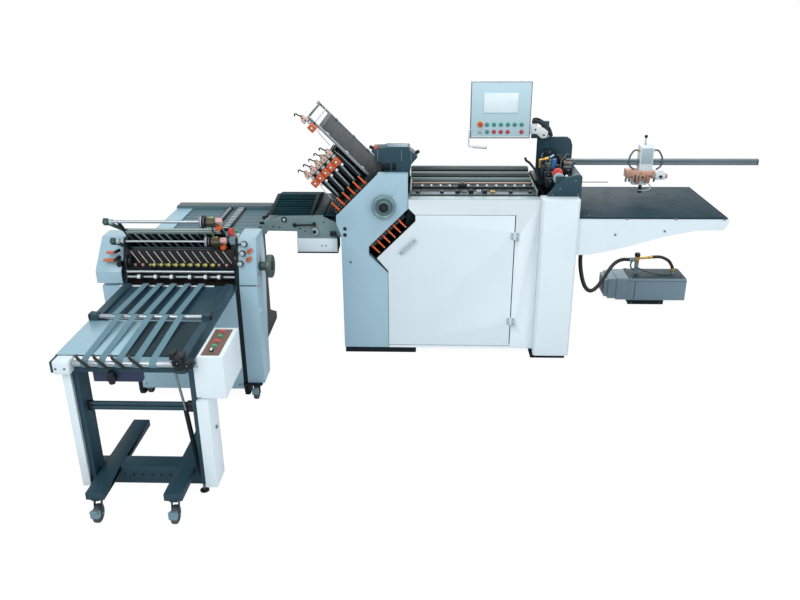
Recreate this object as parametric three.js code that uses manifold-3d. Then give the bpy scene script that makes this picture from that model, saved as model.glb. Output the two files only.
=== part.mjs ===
// Combination paper folding machine. A main folding unit with a flat feeder stands on the right,
// a bridge leads left to a mobile right-angle folding unit, and a delivery stand is docked in
// front of that unit. Millimetres, +Z up, +X towards the feeder, -Y towards the operator.
// While it is built, the main unit's front face lies at y = 0 and the floor at z = 0.

import * as THREE from 'three';
import { mergeVertices } from 'three/addons/utils/BufferGeometryUtils.js';
import Module from 'manifold-3d';

const wasm = await Module();
wasm.setup();

// Shared values
const gap = 0.3;
const overrun = 6;
const root2 = Math.SQRT2;
const roundSides = 24;
const smallSides = 12;
const smallTurn = 16;

// Main unit: side frames, covers and the 45 degree folding head
const bodyBottomZ = 50;
const deckZ = 1047;
const unitDepth = 745;
const frameFrontY = 62;
const framePlate = 15;
const frameRearY = 620;
const frameInset = 10;
const bodyRightX = 930;
const coverLeftX = -552;
const coverRightX = -109;
const coverTopZ = 1205;
const coverLowLeftX = -525;
const coverLowRightX = -236;
const coverShoulderZ = 819;
const coverCornerZ = 894;
const coverWaistX = -354;
const coverWall = 3;
const upperEdgeAlong = 1057;
const slotTopAlong = 776;
const slotBottomAlong = 690;
const chinAcross = 237;
const slotEndX = -65;
const doorTopZ = 950;
const doorRightX = 552;
const headPitch = 47;

const frameInnerFrontY = frameFrontY + framePlate;
const frameInnerRearY = frameRearY;
const frameEndY = frameRearY + framePlate;
const coverBackY = frameFrontY - gap;

const group = new THREE.Group();

// Solid helpers
function toSolid(geometry) {
  const bare = geometry.clone();
  bare.deleteAttribute('normal');
  bare.deleteAttribute('uv');
  const merged = mergeVertices(bare);
  const vertProperties = new Float32Array(merged.attributes.position.array);
  const triVerts = new Uint32Array(merged.index.array);
  return new wasm.Manifold(new wasm.Mesh({ numProp: 3, vertProperties, triVerts }));
}

function toGeometry(solid) {
  const mesh = solid.getMesh();
  const geometry = new THREE.BufferGeometry();
  const positions = new Float32Array(mesh.vertProperties);
  geometry.setAttribute('position', new THREE.BufferAttribute(positions, 3));
  geometry.setIndex(new THREE.BufferAttribute(new Uint32Array(mesh.triVerts), 1));
  geometry.computeVertexNormals();
  return geometry;
}

function join(...solids) {
  return solids.reduce((whole, solid) => whole.add(solid));
}

function cut(solid, ...tools) {
  return tools.reduce((rest, tool) => rest.subtract(tool), solid);
}

function block(x0, x1, y0, y1, z0, z1) {
  const geometry = new THREE.BoxGeometry(x1 - x0, y1 - y0, z1 - z0);
  geometry.translate((x0 + x1) / 2, (y0 + y1) / 2, (z0 + z1) / 2);
  return toSolid(geometry);
}

// An outline of (y, z), (x, z) or (x, y) points, drawn out along the named axis
function prism(axis, outline, from, to) {
  const shape = new THREE.Shape(outline.map(([a, b]) => new THREE.Vector2(a, b)));
  const geometry = new THREE.ExtrudeGeometry(shape, { depth: to - from, bevelEnabled: false });
  const ex = new THREE.Vector3(1, 0, 0);
  const ey = new THREE.Vector3(0, 1, 0);
  const ez = new THREE.Vector3(0, 0, 1);
  const turn = new THREE.Matrix4();
  if (axis === 'x') turn.makeBasis(ey, ez, ex).setPosition(from, 0, 0);
  if (axis === 'y') turn.makeBasis(ex, ez, ey.clone().negate()).setPosition(0, to, 0);
  if (axis === 'z') turn.makeBasis(ex, ey, ez).setPosition(0, 0, from);
  geometry.applyMatrix4(turn);
  return toSolid(geometry);
}

// A round bar along the named axis; (a, b) are the other two coordinates in x, y, z order
function rod(axis, from, to, a, b, radius, sides = smallSides) {
  const geometry = new THREE.CylinderGeometry(radius, radius, to - from, sides);
  const middle = (from + to) / 2;
  if (axis === 'x') geometry.rotateZ(Math.PI / 2).translate(middle, a, b);
  if (axis === 'y') geometry.translate(a, middle, b);
  if (axis === 'z') geometry.rotateX(Math.PI / 2).translate(a, b, middle);
  return toSolid(geometry);
}

// A turned shape about the named axis, from (radius, station) points that start and end on it
function turned(axis, profile, x, y, z, sides = roundSides) {
  const points = profile.map(([radius, station]) => new THREE.Vector2(radius, station));
  const geometry = new THREE.LatheGeometry(points, sides);
  if (axis === 'x') geometry.rotateZ(-Math.PI / 2);
  if (axis === 'z') geometry.rotateX(Math.PI / 2);
  geometry.translate(x, y, z);
  const solid = toSolid(geometry);
  return solid;
}

// Moves every edge of an outline inwards by the same distance
function inset(outline, distance) {
  const vectors = outline.map(([a, b]) => new THREE.Vector2(a, b));
  const side = Math.sign(THREE.ShapeUtils.area(vectors));
  return vectors.map((point, i) => {
    const before = vectors[(i + vectors.length - 1) % vectors.length];
    const after = vectors[(i + 1) % vectors.length];
    const d1 = point.clone().sub(before).normalize();
    const d2 = after.clone().sub(point).normalize();
    const n1 = new THREE.Vector2(-d1.y, d1.x).multiplyScalar(side);
    const n2 = new THREE.Vector2(-d2.y, d2.x).multiplyScalar(side);
    const shift = n1.clone().add(n2).multiplyScalar(distance / (1 + n1.dot(n2)));
    return [point.x + shift.x, point.y + shift.y];
  });
}

// Draws an outline in towards its middle by one share
function shrunk(outline, share) {
  const box = new THREE.Box2().setFromPoints(outline.map(([a, b]) => new THREE.Vector2(a, b)));
  const middle = box.getCenter(new THREE.Vector2());
  return outline.map(([a, b]) => [middle.x + (a - middle.x) * share, middle.y + (b - middle.y) * share]);
}

// A pan of sheet metal with its floor at one end of the axis and open at the other
function pan(axis, outline, floor, rim, wall) {
  const from = Math.min(floor, rim);
  const to = Math.max(floor, rim);
  const inner = inset(outline, wall);
  const hollow = floor < rim
    ? prism(axis, inner, floor + wall, rim + overrun)
    : prism(axis, inner, rim - overrun, floor - wall);
  return cut(prism(axis, outline, from, to), hollow);
}

// 45 degree coordinates: along runs up and away from the flow, across runs up and with it
function slant([along, across]) {
  return [(across - along) / root2, (across + along) / root2];
}

function slantBlock(axis, along0, along1, across0, across1, from, to) {
  const corners = [[along0, across0], [along1, across0], [along1, across1], [along0, across1]];
  return prism(axis, corners.map(slant), from, to);
}

function spread(shares, a0, a1, b0, b1) {
  return shares.map(([a, b]) => [a0 + a * (a1 - a0), b0 + b * (b1 - b0)]);
}

function finish(color, roughness, metalness) {
  return new THREE.MeshStandardMaterial({ color, roughness, metalness });
}

const coverBlue = () => finish(0xa9c8db, 0.45, 0.0);
const cabinetWhite = () => finish(0xe4eef2, 0.4, 0.0);
const slateDark = () => finish(0x2f4654, 0.5, 0.2);
const frameBlack = () => finish(0x1b2329, 0.55, 0.3);
const steelGrey = () => finish(0x9aa5a8, 0.35, 0.8);
const leverOrange = () => finish(0xe8683c, 0.45, 0.0);

function add(name, solid, material) {
  const mesh = new THREE.Mesh(toGeometry(solid), material);
  mesh.name = name;
  group.add(mesh);
  return mesh;
}

// Outline of the front side cover, as (x, z) points
const coverOutline = [
  [coverTopZ - root2 * upperEdgeAlong, coverTopZ],
  [coverRightX, coverTopZ],
  [coverRightX, coverRightX + root2 * slotTopAlong],
  [coverWaistX, coverWaistX + root2 * slotTopAlong],
  [coverWaistX, root2 * chinAcross - coverWaistX],
  [coverLowRightX, root2 * chinAcross - coverLowRightX],
  [coverLowRightX, bodyBottomZ],
  [coverLowLeftX, bodyBottomZ],
  [coverLowLeftX, coverShoulderZ],
  [coverLeftX, coverCornerZ],
  [coverLeftX, coverLeftX + root2 * upperEdgeAlong],
];

// Rollers of the folding head, counted down the 45 degree line from the handwheel
const rollerRadius = 20;
const rollerX = -255;
const rollerZ = 1007;
const journalRadius = 8;
const shaftRadius = 12;
const rollerStep = (2 * rollerRadius + gap) / root2;
const hoodPinX = -145;
const hoodPinZ = 1165;
const hoodPinRadius = 6;
const drumX = 885;
const drumZ = 990;
const drumRadius = 38;

// Base frame: two side plates on a pan, two plinths, and the racks that carry the levers
const rackDepth = 42;
const rackReach = 28;
const rackMargin = 1;
const rackNearAcross = 285;
const upperRackFarAcross = 640;
const lowerRackFarAcross = 575;
const panThickness = 12;
const plinthLeftX0 = -523;
const plinthLeftX1 = -57;
const plinthLeftY = 29;
const plinthRightX0 = 689;
const plinthRightX1 = 910;
const plinthRightY = -36;
const plinthRightZ = 27.7;
const plinthRearY = 715;
const columnInnerX = 720;
const beamBottomZ = 940;
const beamTopZ = 1035;
const frameChinMargin = 14;
const tieRadius = 12;
const tieShares = [[0.0317, 0.7576], [0.575, 0.8095], [0.8853, 0.8095]];

function frameOutline() {
  const topAlong = upperEdgeAlong + rackMargin + rackReach;
  const lowAlong = slotBottomAlong - 2 * frameInset;
  const lowAcross = chinAcross + frameChinMargin;
  const left = coverLowLeftX + frameInset;
  const cornerX = coverLeftX + frameInset;
  const topZ = coverTopZ - frameInset;
  const chinX = coverLowRightX + frameInset;
  return [
    [left, bodyBottomZ],
    [left, coverShoulderZ + frameInset],
    [cornerX, coverCornerZ + frameInset],
    [cornerX, cornerX + root2 * topAlong],
    [topZ - root2 * topAlong, topZ],
    [coverRightX - frameInset, topZ],
    [coverRightX - frameInset, beamTopZ],
    [bodyRightX, beamTopZ],
    [bodyRightX, bodyBottomZ],
    [columnInnerX, bodyBottomZ],
    [columnInnerX, beamBottomZ],
    [beamBottomZ - root2 * lowAlong, beamBottomZ],
    slant([lowAlong, lowAcross]),
    [chinX, root2 * lowAcross - chinX],
    [chinX, bodyBottomZ],
  ];
}

function baseFrame() {
  const outline = frameOutline();
  const plates = join(
    prism('y', outline, frameFrontY, frameInnerFrontY),
    prism('y', outline, frameRearY, frameEndY),
  );
  const panLeft = coverLowLeftX + frameInset;
  const plinthTop = bodyBottomZ - gap;
  const riserTop = bodyBottomZ + panThickness / 2;
  const body = join(
    plates,
    block(panLeft, bodyRightX, frameFrontY, frameEndY, bodyBottomZ, bodyBottomZ + panThickness),
    block(plinthLeftX0, plinthLeftX1, plinthLeftY, plinthRearY, 0, plinthTop),
    block(plinthLeftX0 + frameInset, plinthLeftX1, frameFrontY, frameEndY, 0, riserTop),
    block(plinthRightX0, plinthRightX1, plinthRightY, frameFrontY, 0, plinthRightZ),
    block(plinthRightX0, plinthRightX1, frameFrontY, frameEndY, 0, riserTop),
    block(plinthRightX0, plinthRightX1, frameEndY - framePlate, plinthRearY, 0, plinthTop),
    block(plinthRightX0, plinthRightX1, frameFrontY - framePlate, frameFrontY + framePlate, 0, plinthRightZ),
  );
  const upperRackAlong = upperEdgeAlong + rackMargin;
  const lowerRackAlong = slotTopAlong - rackMargin;
  const rackBack = frameFrontY + framePlate / 2;
  const rackFront = frameFrontY - rackDepth;
  const racks = join(
    slantBlock('y', upperRackAlong, upperRackAlong + rackReach, rackNearAcross, upperRackFarAcross,
      rackFront, rackBack),
    slantBlock('y', lowerRackAlong - rackReach, lowerRackAlong, rackNearAcross, lowerRackFarAcross,
      rackFront, rackBack),
  );
  const tiePlaces = spread(tieShares, coverLeftX, bodyRightX, bodyBottomZ, coverTopZ);
  const tie = ([x, z]) => rod('y', frameFrontY + overrun, frameEndY - overrun, x, z, tieRadius);
  const ties = tiePlaces.map(tie);
  const bore = (x, z, radius) => rod('y', frameFrontY - overrun, frameEndY + overrun, x, z, radius + gap,
    smallTurn);
  return cut(
    join(body, racks, ...ties),
    bore(rollerX, rollerZ, shaftRadius),
    bore(rollerX - rollerStep, rollerZ - rollerStep, journalRadius),
    bore(hoodPinX, hoodPinZ, hoodPinRadius),
    bore(drumX, drumZ, journalRadius),
  );
}
add('base_frame', baseFrame(), frameBlack());

// Front and rear casings of the main unit
function frontSideCover() {
  const shell = pan('y', coverOutline, 0, coverBackY, coverWall);
  return cut(shell, rod('y', -overrun, frameFrontY, rollerX, rollerZ, shaftRadius + coverWall, smallTurn));
}
add('front_side_cover', frontSideCover(), coverBlue());

function rearCover() {
  const outline = [
    coverOutline[0],
    coverOutline[1],
    [coverRightX, deckZ],
    [bodyRightX, deckZ],
    [bodyRightX, bodyBottomZ],
    [coverLowLeftX, bodyBottomZ],
    [coverLowLeftX, coverShoulderZ],
    [coverLeftX, coverCornerZ],
    coverOutline[10],
  ];
  return pan('y', outline, unitDepth, frameEndY + gap, coverWall);
}
add('rear_cover', rearCover(), coverBlue());

// White cabinet: a C-shaped front with the door opening, the deck above and a return on the right
const seam = 3;
const cabinetFace = 18;
const cabinetRightX = 701.5;
const cabinetSillZ = 66;
const deckDepth = 88;
const deckThickness = 11.7;
const hingeHeight = 46;
const hingeLeaf = 22;
const hingeThickness = 8;
const hingeBarrel = 6;
const hingeHighZ = 797;
const hingeLowZ = 222;
const doorWall = 2.5;

const hingeX = doorRightX;
const hingeY = -hingeBarrel;

function cabinetBody() {
  const left = coverRightX + seam;
  const sillLeft = coverLowRightX + seam;
  const stileX = doorRightX + seam;
  const headZ = doorTopZ + seam;
  const slotCornerX = slotEndX;
  const face = [
    [left, deckZ], [cabinetRightX, deckZ], [cabinetRightX, bodyBottomZ], [sillLeft, bodyBottomZ],
    [sillLeft, cabinetSillZ], [stileX, cabinetSillZ], [stileX, headZ], [slotCornerX, headZ],
    [left, left + root2 * slotTopAlong + seam],
  ];
  const leaf = (z) => block(hingeX + hingeBarrel + gap, hingeX + hingeBarrel + hingeLeaf,
    -hingeThickness, cabinetFace / 2, z, z + hingeHeight);
  return join(
    prism('y', face, 0, cabinetFace),
    block(left, cabinetRightX, 0, deckDepth, deckZ - deckThickness, deckZ),
    block(cabinetRightX - cabinetFace, cabinetRightX, 0, coverBackY, bodyBottomZ, deckZ),
    block(stileX, stileX + cabinetFace, 0, coverBackY, headZ, deckZ),
    leaf(hingeHighZ),
    leaf(hingeLowZ),
  );
}
add('cabinet_body', cabinetBody(), cabinetWhite());

function cabinetDoor() {
  const edgeAlong = slotBottomAlong - seam;
  const lowerLeftX = coverLowRightX + seam;
  const chin = chinAcross + seam * 4;
  const outline = [
    [slotEndX + seam, doorTopZ], [doorRightX - seam, doorTopZ],
    [doorRightX - seam, cabinetSillZ + seam], [lowerLeftX, cabinetSillZ + seam],
    [lowerLeftX, root2 * chin - lowerLeftX],
    slant([edgeAlong, chin + seam * 3]),
    [slotEndX + seam, slotEndX + seam + root2 * edgeAlong],
  ];
  const leaf = (z) => join(
    block(hingeX - hingeLeaf, hingeX, -hingeThickness, doorWall, z, z + hingeHeight),
    rod('z', z, z + hingeHeight, hingeX, hingeY, hingeBarrel),
  );
  return join(pan('y', outline, 0, cabinetFace, doorWall), leaf(hingeHighZ), leaf(hingeLowZ));
}
add('cabinet_door', cabinetDoor(), cabinetWhite());

// Column cover beside the cabinet, with chamfered front corners
const columnFrontY = -62;
const columnTopZ = 1062;
const columnBottomZ = 28;
const columnChamfer = 14;

function columnCover() {
  const left = cabinetRightX + gap;
  const right = bodyRightX;
  const plan = [
    [left, coverBackY], [left, columnFrontY + columnChamfer], [left + columnChamfer, columnFrontY],
    [right - columnChamfer, columnFrontY], [right, columnFrontY + columnChamfer], [right, coverBackY],
  ];
  const inner = inset(plan, coverWall);
  const shell = prism('z', plan, columnBottomZ, columnTopZ);
  const hollow = prism('z', inner, columnBottomZ - overrun, columnTopZ - coverWall);
  const back = block(left + coverWall, right - coverWall, 0, frameFrontY, columnBottomZ - overrun,
    columnTopZ - coverWall);
  return cut(shell, hollow, back);
}
add('column_cover', columnCover(), cabinetWhite());

// Feeder: a tapered bracket frame and the flat table on it
const tableTopZ = 950;
const tablePlate = 11.7;
const tableRightX = 1823;
const tableFrontY = -26;
const tableRearY = 721;
const bracketRightX = 1836;
const bracketLowZ = 708;
const bracketFrontY = -22;
const bracketRearY = 718;
const bracketWidth = 40;
const bracketEnd = 15;
const bracketTie = 40;
const bracketTieDrop = 58;
const portX = 1019;
const portY = 250;
const portRadius = 24;
const portLength = 90;
const bracketShares = [[0, 1], [1, 1], [1, 0.87], [0.968, 0.7], [0.793, 0.68], [0.592, 0.52], [0.316, 0.19],
  [0.102, 0], [0, 0]];

const tableBottomZ = tableTopZ - tablePlate;
const bracketTopZ = tableBottomZ - gap;
const bracketLeftX = bodyRightX + gap;

function feederBracket() {
  const side = spread(bracketShares, bracketLeftX, bracketRightX, bracketLowZ, bracketTopZ);
  const endX = bracketLeftX + bracketEnd;
  const tieZ = bracketTopZ - bracketTieDrop;
  const tie = (x) => block(x, x + bracketTie, bracketFrontY, bracketRearY, tieZ, bracketTopZ);
  const portBottom = bracketLowZ - portLength;
  const port = join(
    block(bracketLeftX, portX + portRadius, portY - portRadius, portY + portRadius,
      bracketLowZ, bracketLowZ + bracketEnd),
    rod('z', portBottom, bracketLowZ + bracketEnd, portX, portY, portRadius, smallTurn),
  );
  return join(
    prism('y', side, bracketFrontY, bracketFrontY + bracketWidth),
    prism('y', side, bracketRearY - bracketWidth, bracketRearY),
    block(bracketLeftX, endX, bracketFrontY, bracketRearY, bracketLowZ, bracketTopZ),
    tie(bracketLeftX + (bracketRightX - bracketLeftX) * 0.33),
    tie(bracketLeftX + (bracketRightX - bracketLeftX) * 0.85),
    port,
  );
}
add('feeder_bracket', feederBracket(), cabinetWhite());

function feederTable() {
  const plate = block(bodyRightX + gap, tableRightX, tableFrontY, tableRearY, tableBottomZ, tableTopZ);
  return plate;
}
add('feeder_table', feederTable(), frameBlack());

// Feed head: front guard, upright plates, cross beams and the arm of the control panel
const guardLeftX = 741;
const guardRightX = 944;
const guardTopZ = 1194;
const guardFrontY = 34;
const uprightPlate = 14;
const headRearRightX = 978;
const headRearTopZ = 1313;
const railSize = 36;
const railY = 382;
const railLeftX = 900;
const railRightX = 2122;
const railZ = 1177;
const beamWidth = 50;
const beamHeight = 46;
const armLeftX = 700;
const armRightX = 812;
const armLowZ = 1336;
const armHighZ = 1402;
const armDepth = 30;
const armNeck = 46;
const panelPinX = 716;
const panelPinRadius = 10;
const lugRadius = 17;
const guardShares = [[0, 0], [0.12, 0.22], [0.25, 0.51], [0.4, 0.73], [0.62, 0.9], [0.82, 1], [0.94, 1],
  [1, 0.9], [1, 0]];
const headRearShares = [[0, 0], [0.81, 0], [1, 0.18], [1, 0.8], [0.94, 0.94], [0.84, 1], [0, 1]];

function feedHeadFrame() {
  const uprightBottom = beamTopZ + gap;
  const uprightFrontY = frameFrontY + gap;
  const guard = spread(guardShares, guardLeftX, guardRightX, columnTopZ + gap, guardTopZ);
  const rear = spread(headRearShares, guardLeftX, headRearRightX, uprightBottom, headRearTopZ);
  const uprightBack = uprightFrontY + uprightPlate;
  const rearFrontY = frameRearY;
  const rearBackY = rearFrontY + uprightPlate;
  const beam = (x, top) => block(x, x + beamWidth, uprightFrontY, rearBackY, top - beamHeight, top);
  const armY = rearBackY - armDepth;
  return join(
    prism('y', guard, guardFrontY, uprightFrontY + uprightPlate / 2),
    block(guardLeftX + beamWidth, bodyRightX, uprightFrontY, uprightBack, uprightBottom, railZ - gap),
    prism('y', rear, rearFrontY, rearBackY),
    beam(railLeftX, railZ - gap),
    beam(guardLeftX + beamWidth, railZ - beamHeight),
    block(armRightX - armNeck, armRightX, armY, rearBackY, headRearTopZ - overrun, armHighZ),
    block(armLeftX, armRightX, armY, rearBackY, armLowZ - armDepth, armLowZ),
    block(armLeftX, armRightX, armY, rearBackY, armHighZ, armHighZ + armDepth / 2),
    rod('z', armLowZ - armDepth / 2, armHighZ + armDepth / 4, panelPinX, armY + armDepth / 2,
      panelPinRadius, smallTurn),
  );
}
add('feed_head_frame', feedHeadFrame(), slateDark());

// Control panel with its lug on the arm's pin, and the emergency stop in its face
const panelLeftX = 288;
const panelRightX = 683;
const panelLowZ = 1313;
const panelHighZ = 1681;
const panelDepth = 42;
const panelBackGap = 4;
const panelEdge = 6;
const stopX = 354;
const stopZ = 1407;
const stopHeadRadius = 20;
const stopHeadDepth = 14;
const stopStemRadius = 9;
const stopTravel = 5;
const stopSeat = 26;

const armPinY = frameRearY + uprightPlate - armDepth / 2;
const panelBackY = armPinY - lugRadius - panelBackGap;
const panelFrontY = panelBackY - panelDepth;

function controlPanel() {
  const face = [
    [panelLeftX, panelLowZ], [panelRightX, panelLowZ], [panelRightX, panelHighZ], [panelLeftX, panelHighZ],
  ];
  const shell = prism('y', face, panelFrontY + panelEdge, panelBackY);
  const front = prism('y', inset(face, panelEdge), panelFrontY, panelBackY);
  const lugLow = armLowZ + gap;
  const lugHigh = armHighZ - gap;
  const lug = join(
    block(panelRightX - lugRadius * 2, panelPinX, panelBackY - panelEdge, armPinY, lugLow, lugHigh),
    rod('z', lugLow, lugHigh, panelPinX, armPinY, lugRadius, smallTurn),
  );
  const pinBore = rod('z', armLowZ - overrun, armHighZ + overrun, panelPinX, armPinY,
    panelPinRadius + gap, smallTurn);
  const stopBore = rod('y', panelFrontY - overrun, panelFrontY + stopSeat, stopX, stopZ,
    stopStemRadius + gap, smallTurn);
  return cut(join(shell, front, lug), pinBore, stopBore);
}
add('control_panel', controlPanel(), cabinetWhite());

function emergencyStop() {
  const front = panelFrontY - stopTravel - stopHeadDepth;
  const neck = front + stopHeadDepth;
  const end = panelFrontY + stopSeat - stopTravel - gap;
  const profile = [
    [0, front], [stopHeadRadius * 0.7, front], [stopHeadRadius, front + stopHeadDepth * 0.35],
    [stopHeadRadius, neck], [stopStemRadius, neck], [stopStemRadius, end], [0, end],
  ];
  return turned('y', profile, stopX, 0, stopZ, smallTurn);
}
add('emergency_stop', emergencyStop(), finish(0xd93a32, 0.35, 0.0));

// Rail over the table, and the sheet separator that slides on it
const railSlot = 10;
const railSlotDepth = 8;

function upperRail() {
  const profileZ = railZ + railSize / 2;
  const bar = block(railLeftX, railRightX, railY, railY + railSize, railZ, railZ + railSize);
  const slot = (y0, y1) => block(railLeftX - overrun, railRightX + overrun, y0, y1,
    profileZ - railSlot / 2, profileZ + railSlot / 2);
  return cut(
    bar,
    slot(railY - overrun, railY + railSlotDepth),
    slot(railY + railSize - railSlotDepth, railY + railSize + overrun),
  );
}
add('upper_rail', upperRail(), steelGrey());

const separatorX0 = 1366;
const separatorX1 = 1448;
const separatorTopZ = 1303;
const separatorWall = 22;
const separatorTopEdge = 12;
const copperX0 = 1290;
const copperX1 = 1462;
const copperLowZ = 1096;
const copperTopZ = 1148;
const copperFrontY = 352;
const copperBackY = 430;
const chestX0 = 1332;
const chestX1 = 1424;
const chestLowZ = 1052;
const nozzleX = 1388;
const nozzleLowZ = 1006;
const nozzleRadius = 9;
const sideBoxX0 = 1476;
const sideBoxX1 = 1534;
const sideBoxLowZ = 1088;
const sideBoxTopZ = 1132;
const leverPinX = 1398;
const leverPinRadius = 5;
const leverCheek = 8;
const leverRise = 16;
const ballRadius = 11;
const leverLength = 46;

const separatorY0 = railY - separatorWall;
const separatorY1 = railY + railSize + separatorWall;
const leverPinZ = separatorTopZ + leverRise / 2 + gap;
const leverMidY = (separatorY0 + separatorY1) / 2;

function separatorHead() {
  const bodyLow = railZ - separatorWall;
  const face = [
    [separatorY0, bodyLow], [separatorY1, bodyLow], [separatorY1, separatorTopZ - separatorTopEdge],
    [separatorY1 - separatorTopEdge, separatorTopZ], [separatorY0 + separatorTopEdge, separatorTopZ],
    [separatorY0, separatorTopZ - separatorTopEdge],
  ];
  const box = prism('x', face, separatorX0, separatorX1);
  const tunnel = block(separatorX0 - overrun, separatorX1 + overrun, railY - gap, railY + railSize + gap,
    railZ - gap, railZ + railSize + gap);
  const cheek = (y) => block(leverPinX - leverCheek, leverPinX + leverCheek, y, y + leverCheek,
    separatorTopZ - gap, separatorTopZ + leverRise);
  const clevis = join(cheek(leverMidY - leverCheek * 1.5 - gap), cheek(leverMidY + leverCheek / 2 + gap));
  const pinBore = rod('y', separatorY0, separatorY1, leverPinX, leverPinZ, leverPinRadius + gap);
  const block1 = block(copperX0, copperX1, copperFrontY, copperBackY, copperLowZ, copperTopZ);
  const neck = block(separatorX0, separatorX1 - separatorTopEdge, copperFrontY + separatorTopEdge,
    copperBackY - separatorTopEdge, copperTopZ - overrun, bodyLow + separatorTopEdge / 2);
  const chest = block(chestX0, chestX1, copperFrontY + separatorTopEdge, copperBackY - separatorTopEdge,
    chestLowZ, copperLowZ + overrun);
  const nozzle = rod('z', nozzleLowZ, chestLowZ + overrun, nozzleX, copperFrontY + separatorTopEdge * 2,
    nozzleRadius);
  const sideBox = join(
    block(sideBoxX0, sideBoxX1, copperFrontY, copperBackY - separatorTopEdge, sideBoxLowZ, sideBoxTopZ),
    block(copperX1 - overrun, sideBoxX0 + overrun, copperFrontY + separatorTopEdge,
      copperFrontY + separatorTopEdge * 2, copperLowZ + overrun, sideBoxTopZ - overrun),
  );
  return cut(join(cut(box, tunnel), clevis, block1, neck, chest, nozzle, sideBox), pinBore);
}
add('separator_head', separatorHead(), cabinetWhite());

function separatorLever() {
  const ball = new THREE.SphereGeometry(ballRadius, smallSides, smallSides / 2);
  ball.rotateX(Math.PI / 2);
  ball.translate(leverPinX, leverMidY, leverPinZ + leverLength);
  const half = leverCheek / 2;
  return join(
    rod('y', leverMidY - leverCheek * 1.5, leverMidY + leverCheek * 1.5, leverPinX, leverPinZ,
      leverPinRadius),
    rod('z', leverPinZ - half / 2, leverPinZ + leverLength, leverPinX, leverMidY, half),
    toSolid(ball),
  );
}
add('separator_lever', separatorLever(), frameBlack());

// Register table: a tray with cross-wise rails that carry and align the sheet
const registerX0 = -100;
const registerX1 = 690;
const registerPlate = 8;
const registerLip = 12;
const railBlock = 14;
const rearBeamDepth = 44;
const rearBeamZ = 1114;
const registerRailShares = [[0.085, 0.07, 0.16], [0.26, 0.05, 0.42], [0.52, 0.055, 0.5], [0.74, 0.055, 0.62]];

function registerTable() {
  const y0 = deckDepth + gap;
  const y1 = frameEndY;
  const low = beamTopZ + gap;
  const width = y1 - y0;
  const height = rearBeamZ - low;
  const rails = registerRailShares.map(([place, size, top]) => {
    const y = y0 + place * width;
    const z = low + top * height;
    return block(registerX0, registerX1, y, y + size * width, z - railBlock, z);
  });
  const cheekTop = low + height * 0.62;
  return join(
    block(registerX0, registerX1, y0, y1, low, low + registerPlate),
    block(registerX0, registerX1, y1 - rearBeamDepth, y1, low, rearBeamZ),
    block(registerX0, registerX0 + registerLip, y0, y1, low, cheekTop),
    block(registerX1 - registerLip, registerX1, y0, y1, low, cheekTop),
    ...rails,
  );
}
add('register_table', registerTable(), steelGrey());

// Suction drum that draws the sheet off the feeder table
const drumGrooveCount = 5;

function suctionDrum() {
  const inner = frameInnerFrontY + gap;
  const outer = frameInnerRearY - gap;
  const journal = framePlate * 0.9;
  const profile = [[0, inner - journal], [journalRadius, inner - journal], [journalRadius, inner]];
  const pitch = (outer - inner) / drumGrooveCount;
  for (let i = 0; i < drumGrooveCount; i += 1) {
    const start = inner + pitch * i;
    profile.push([drumRadius * 0.8, start], [drumRadius * 0.8, start + pitch * 0.2]);
    profile.push([drumRadius, start + pitch * 0.2], [drumRadius, start + pitch]);
  }
  profile.push([journalRadius, outer], [journalRadius, outer + journal], [0, outer + journal]);
  return turned('y', profile, drumX, 0, drumZ, smallTurn);
}
add('suction_drum', suctionDrum(), steelGrey());

// Noise hood over the folding rollers, hinged on a pin between the side plates
const hoodFrontY = 92;
const hoodRearY = 560;
const hoodLeftX = -333;
const hoodRightX = -50;
const hoodLowZ = 1146;
const hoodHighZ = 1351;
const hoodStepY = 212;
const hoodShares = [[0.27, 0.11], [0.3, 0], [0.8, 0], [0.845, 0.33], [0.862, 0.48], [0.996, 0.69],
  [0.96, 0.76], [0.823, 0.9], [0.83, 0.96], [0.79, 1], [0.339, 1], [0.272, 0.97], [0.05, 0.96],
  [0.02, 0.9], [0, 0.86], [0.254, 0.465]];
const hoodRearShares = [[0.35, 0], [0.75, 0], [0.79, 0.28], [0.72, 0.51], [0.36, 0.51], [0.3, 0.33]];

function hood() {
  const face = spread(hoodShares, hoodLeftX, hoodRightX, hoodLowZ, hoodHighZ);
  const back = spread(hoodRearShares, hoodLeftX, hoodRightX, hoodLowZ, hoodHighZ);
  const end = framePlate * 0.8;
  return join(
    prism('y', face, hoodFrontY, hoodStepY),
    prism('y', back, hoodStepY - overrun, hoodRearY),
    rod('y', frameInnerFrontY - end, frameInnerRearY + end, hoodPinX, hoodPinZ, hoodPinRadius),
  );
}
add('hood', hood(), slateDark());

// Handwheel and the two rollers that it turns
const wheelRadius = 73;
const wheelRim = 24;
const wheelFrontY = -42;
const wheelBackY = -6;
const wheelHub = 28;
const wheelDish = 18;

function handwheelProfile(radius, rim, hub, dish, front, back, shaft, end) {
  const bevel = rim / 6;
  return [
    [0, front], [hub, front], [hub + bevel, front + bevel], [hub + bevel, front + dish],
    [radius - rim - bevel, front + dish], [radius - rim, front + bevel], [radius - bevel, front + bevel],
    [radius, front + 2 * bevel], [radius, back - bevel], [radius - bevel, back], [shaft, back],
    [shaft, end], [0, end],
  ];
}

function mainHandwheel() {
  const end = frameInnerFrontY + gap;
  const profile = handwheelProfile(wheelRadius, wheelRim, wheelHub, wheelDish, wheelFrontY, wheelBackY,
    shaftRadius, end);
  return turned('y', profile, rollerX, 0, rollerZ, roundSides);
}
add('main_handwheel', mainHandwheel(), finish(0xa3aba8, 0.35, 0.6));

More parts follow.
